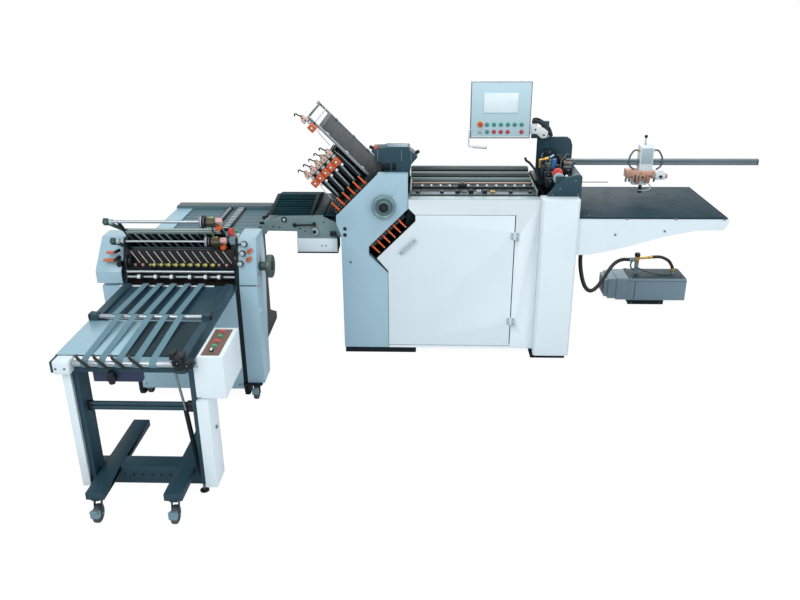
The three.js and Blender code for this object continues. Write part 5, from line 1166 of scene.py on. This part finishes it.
class FOLDER_OT_second_plates(Step, label="Right-angle fold plates"):
    """Fold plates of the right-angle unit, with their beams, rods and marbles"""

    def build(self, context):
        left, right = -1664.7, -1110
        work = Work()
        for across, tip, beam, wide, look in ((330, 1221, 1083, 32, "beam_green"), (278, 1091, 935, 58, "beam_dark")):
            work.slant = SECOND_SLANT
            top = beam + wide
            upper = look == "beam_green"
            work.block((left, across - 3, 900), (right, across + 3, top), "black_paint", 0.8)
            work.block((left, across - 7, 900), (left + 14, across + 7, tip), "black_paint")
            work.block((right - 16, across - 7, 900), (right, across + 7, tip + 4), "black_paint")
            work.block((left, across - 7, beam), (right, across + 14, top), look, 3)
            work.bar("x", (across, tip - 7), -1700, right, 8.5 if upper else 6, "bright_steel")
            work.block((-1738, across - 16, tip - 26), (-1708, across + 16, tip + 8), "tip_green", 5)
            work.bar("x", (across, tip - 7), -1704, -1686, 15, "pale_grey", 2, sides=28)
            arm = [(-1736, tip - 22), (-1712, tip + 2), (left + 26, top), (left, top - 6)]
            work.plate(arm, "y", across - 5, across + 5, "tip_green", 1.5)
            for i, x in enumerate(row(left + 14, 43, 12)):
                work.tube([(x, across - 7, beam - 3), (x + 34, across - 7, 904)], 4.4,
                          "pale_grey" if i % 3 else "bright_steel", 1, sides=3)
            for x in (left + 40, left + 250, right - 60):
                work.screw((x, across + 14, beam + wide / 2), 6, facing=BACK)
            rings = ("lilac", "white_plastic", "black_plastic", "lilac", "black_plastic")
            for x, ring, radius in zip(row(-1210, 6.4, 5), rings, (34, 30, 36, 26, 32)):
                work.bar("x", (across, tip - 7), x, x + 5.6, radius * (1 if upper else 0.86), ring, 1, sides=36)
            work.block((-1176, across - 20, tip - 32), (-1128, across + 16, tip + 14), "olive_brown", 4)
            work.block((-1128, across - 8, tip - 24), (-1092, across + 20, tip + 8), "dusty_pink", 4)
            work.rod((-1176, across + 16, tip - 2), (-1140, across + 22, tip + 2), 6, "ball_green", sides=16)
            work.slant = None
            y, z = self.place(across - 16, tip - 44)
            work.turned([(0, 0), (12, 0), (15, 3), (17, 9), (17, 22), (12, 27), (0, 27)], (-1118, y - 12, z), BACK,
                        "lever_orange")
            work.tube([(-1150, y, z + 6), (-1146, y - 16, z - 14), (-1130, y - 20, z - 22)], 4, "black_rubber")
        work.slant = SECOND_SLANT
        work.block((left, 271, 900), (-1060.3, 337, 914), "black_paint", 2)
        work.slant = None
        for z, radius, look in ((791, 8, "bright_steel"), (760, 6, "pale_grey")):
            work.bar("x", (-585, z), -1664, -1061, radius, look)
        for y0, y1, z0, z1 in ((-549, -543, 640, 906), (-548, -500, 716, 722)):
            work.block((-1664, y0, z0), (-1061, y1, z1), "inner_dark")
        for x in row(-1640, 43, 13):
            work.tube([(x, -553, 900), (x + 46, -560, 834)], 3.6, "bright_steel", 1, sides=3)
            work.block((x + 8, -556, 804), (x + 22, -549, 826), "dusty_pink")
        for x in (-1600, -1498, -1404, -1310, -1216, -1130):
            work.block((x, -560, 724), (x + 34, -549, 752), "black_plastic", 3)
        for x in row(-1505, 41.3, 9):
            work.block((x - 12, -590, 814), (x + 12, -566, 828), "black_plastic", 2)
            work.ball((x, -590, 833), 10, "ball_green")
        work.block((-1664, -574, 796), (-1061, -560, 815), "black_paint", 1.5)
        for x in (-1600, -1507, -1417, -1314, -1225, -1150):
            work.bar("x", (-585, 760), x - 9, x + 9, 12, "white_plastic", 1)
            work.bar("x", (-585, 760), x + 14, x + 26, 17, "black_plastic", 1)
        for x0, radius, look in ((-1664, 36, "black_plastic"), (-1650, 22, "aluminium"), (-1644, 30, "black_paint")):
            work.bar("x", (-570, 846), x0, x0 + 12, radius, look, 1, sides=36)
        work.turned([(0, 0), (16, 0), (21, 4), (23, 12), (21, 20), (0, 24)], (-1084, -520, 1002), (1, -0.3, 0.1),
                    "red_plastic", sides=32)
        work.rod((-1100, -500, 960), (-1086, -516, 996), 7, "bright_steel", sides=16)
        for x, z, look in ((-1056, 1000, "green_plastic"), (-1052, 976, "white_plastic"), (-1050, 962, "ball_green")):
            work.block((x, -500, z - 8), (x + 14, -482, z + 8), look, 2)
        work.done("side_unit_plates", "unit2", ["unit2_fold_plates"])

    @staticmethod
    def place(across, along):
        return (across - along) / ROOT2, (across + along) / ROOT2


# The delivery tapes' first middle, pitch and number
TAPE_ROW = (-1492, 76, 5)


class FOLDER_OT_stand(Step, label="Delivery stand"):
    """Delivery stand: base, legs, table frame, tapes and rollers"""

    def build(self, context):
        half = context.scene.folder_sizes.tape_width * 500
        work = Work().solid("stand_base", "slate_paint", 1.5)
        for x in row(-1430, 44, 6):
            work.bar("y", (x, 108), -1531, -1528, 7, "black_plastic", sides=18)
        work.bar("z", (-1063, -1500), 0.5, 64, 7, "steel", sides=18)
        work.turned([(0, 0), (22, 0), (22, 6), (8, 14), (0, 14)], (-1063, -1500, 0.5), UP, "black_rubber", sides=48)
        work.rod((-1112, -1568, 700), (-1080, -1548, 420), 6, "steel", sides=18)
        work.rod((-1088, -1552, 480), (-1064, -1516, 62), 11, "black_paint", 3)
        work.rod((-1064, -1516, 66), (-1063, -1508, 50), 8, "steel", 2, sides=18)
        for z in (480.5, 502.5):
            work.bar("x", (-1536, z), -1080, -1046, 17, "black_plastic", 2, sides=28)
            work.bar("x", (-1536, z), -1544, -1520, 15, "black_plastic", 2, sides=28)
        work.done("stand_frame", "stand")
        Work().solid("stand_left_leg", "cabinet_white").done("left_leg", "stand")
        work = Work().solid("stand_right_leg", "cabinet_white")
        work.bar("x", (-1530, 380), -964.5, -956, 9, "steel", 1, sides=20)
        work.done("right_leg", "stand")
        work = Work().solid("stand_table", "slate_paint", 1.5)
        for x0, x1, look in ((-1640, -1350, "plate_steel"), (-1350, -1086, "plate_dark")):
            work.block((x0, -1556, 757.5), (x1, -1186, 759), look, 0.5)
        work.block((-1626, -1634, 698), (-1552, -1566, 762), "cabinet_white", 6)
        for x in (-1612, -1572):
            work.screw((x, -1634, 728), 5)
        work.block((-1475, -1584, 640), (-1256, -1548, 692), "navy_paint", 3)
        work.bar("z", (-1385, -1600), 640, 700, 14, "black_plastic", 2, sides=28)
        work.bar("y", (-1385, 668), -1612, -1590, 20, "black_plastic", 2, sides=32)
        work.bar("x", (-700, 748), -1671, -1147, 8, "bright_steel")
        for x in row(*TAPE_ROW):
            work.bar("x", (-703, 748), x - 34, x - 12, 21, "black_plastic", 2, sides=32)
            work.bar("x", (-703, 748), x - 38, x - 8, 11, "steel", 1, sides=28)
        for x in row(-1533, 78, 4):
            work.tube([(x, -1585, 770), (x + 22, -1624, 776), (x + 52, -1638, 760), (x + 78, -1638, 734)], 7,
                      "black_plastic")
        for low, high, look in (((-1090, -1626, 716), (-1050, -1560, 788), "black_plastic"),
                                ((-1064, -1630, 730), (-1006, -1590, 766), "black_paint"),
                                ((-1112, -1616, 764), (-1086, -1570, 800), "black_plastic")):
            work.block(low, high, look, 5)
        for x, z, r in ((-1030, 748, 17), (-1072, 760, 22)):
            work.turned([(r * 0.5, 0), (r, 0), (r + 2, 2), (r + 2, 8), (r * 0.5, 8)], (x, -1636, z), BACK,
                        "black_plastic", sides=32)
            work.bar("y", (x, z), -1637, -1628, 4, "steel", 1, sides=18)
        for x in (-1644, -1046):
            work.block((x, -1184, 764), (x + 12, -1136, 790), "black_plastic", 3)
        work.done("stand_deck", "stand")
        work = Work()
        loop = [(-1160, 784.3), (-1160, 783), (-1590, 757.8), (-1606, 752), (-1615.8, 738), (-1606, 724),
                (-1590, 722), (-1590, 720.5), (-1607, 722.8), (-1617.2, 738), (-1607, 753.2), (-1590, 759.2)]
        for x in row(*TAPE_ROW):
            work.plate(loop, "x", x - half, x + half, "tape_cloth", 0)
            work.plate([(-1164, 783), (-1164, 784.6), (-712, 770.2), (-712, 768.6)], "x", x - half - 24,
                       x + half - 24, "tape_cloth", 0)
        work.done("tapes", "stand")
        for node_name, body, y, z, r in (("stand_front_roller", "front_roller", -1600, 738, 14),
                                         ("stand_mid_roller", "mid_roller", -1160, 770, 12)):
            work = Work()
            work.bar("x", (y, z), -1599.7, -1084.3, r, "bright_steel", 1, sides=36)
            work.bar("x", (y, z), -1620, -1064, 5, "steel", sides=18)
            work.done(f"{body}_tube", body, [node_name])


class FOLDER_OT_control_box(Step, label="Stand control box"):
    """Control box of the stand with its switches"""

    def build(self, context):
        work = Work().solid("stand_control_box", "cabinet_white")
        work.block((-986, -1570, 768), (-904, -1298, 770), "brown_plate", 0.8)
        looks = ("black_plastic", "green_plastic", "red_plastic", "green_plastic", "red_plastic")
        for y, look in zip(row(-1536, 52, 5), looks):
            work.bar("z", (-945, y), 769.6, 773, 15, "steel", 0.8, sides=28)
            work.bar("z", (-945, y), 772, 780, 11.5, look, 1.6, sides=28)
        work.block((-949, -1546, 779), (-941, -1526, 786), "white_plastic", 1.5)
        work.done("switch_box", "stand")


class FOLDER_OT_casters(Step, label="Casters"):
    """Caster wheels, with their fork caps and brake pedals"""

    def build(self, context):
        groups = (
            ("unit2", [(-1640, -535), (-988, -600), (-1610, 300), (-1115, 300)], 100),
            ("stand", [(-1486, -1740), (-1129, -1740), (-1486, -1380), (-1129, -1380)], 122))
        for unit, places, top in groups:
            trim = Work()
            for i, (x, y) in enumerate(places):
                wheel = Work()
                wheel.turned([(25, -11), (39, -12.6), (43, -10), (44, -5), (44, 5), (43, 10), (39, 12.6), (25, 11),
                              (25, -11)], (x, y, 44), (1, 0, 0), "tyre_rubber", sides=56)
                wheel.turned([(5.4, -14), (13, -14), (14, -8), (26, -7), (26, 7), (14, 8), (13, 14), (5.4, 14),
                              (5.4, -14)], (x, y, 44), (1, 0, 0), "pale_grey", sides=36)
                node_name = f"{unit}_wheel_{i + 1}"
                wheel.done(f"{unit}_tyre_{i + 1}", node_name, [node_name])
                for side in (-1, 1):
                    trim.turned([(0, 0), (6, 0), (7, 1), (7, 3), (5, 5), (0, 5)], (x + side * 18.3, y, 44),
                                (side, 0, 0), "steel", sides=20)
                trim.bar("z", (x, y + 23), top - 14, top - 1, 18, "steel", 2, sides=28)
                if y < 0:
                    tip = Matrix.Translation((x, y - 34, 78)) @ Matrix.Rotation(-0.35, 4, "X")
                    trim.block((-17, -20, -4), (17, 18, 4), "caster_blue", 3, turn=tip)
                    trim.block((-6, 10, -4), (6, 40, 3), "aluminium", 2, turn=tip)
                    trim.block((-19, -46, -22), (19, -38, 18), "caster_blue", 3,
                               turn=Matrix.Translation((x, y, 66)))
            trim.done(f"{unit}_caster_trim", unit)


class FOLDER_PT_panel(bpy.types.Panel):
    """Lists the building steps"""
    bl_label = "Paper folding machine"
    bl_idname = "FOLDER_PT_panel"
    bl_space_type = "VIEW_3D"
    bl_region_type = "UI"
    bl_category = "Folder"

    def draw(self, context):
        for group in (context.scene.folder_sizes, context.scene.folder_colours):
            for key in group.__annotations__:
                self.layout.prop(group, key)
        for step in STEPS:
            self.layout.operator(step.bl_idname)


def register():
    for made in (MachineSizes, MachineColours, *STEPS, FOLDER_PT_panel):
        bpy.utils.register_class(made)
    bpy.types.Scene.folder_sizes = PointerProperty(type=MachineSizes)
    bpy.types.Scene.folder_colours = PointerProperty(type=MachineColours)


def unregister():
    del bpy.types.Scene.folder_sizes
    del bpy.types.Scene.folder_colours
    for made in reversed((MachineSizes, MachineColours, *STEPS, FOLDER_PT_panel)):
        bpy.utils.unregister_class(made)


def main():
    register()
    for step in STEPS:
        getattr(bpy.ops.folder, step.bl_idname.split(".")[1])()


if __name__ == "__main__":
    main()
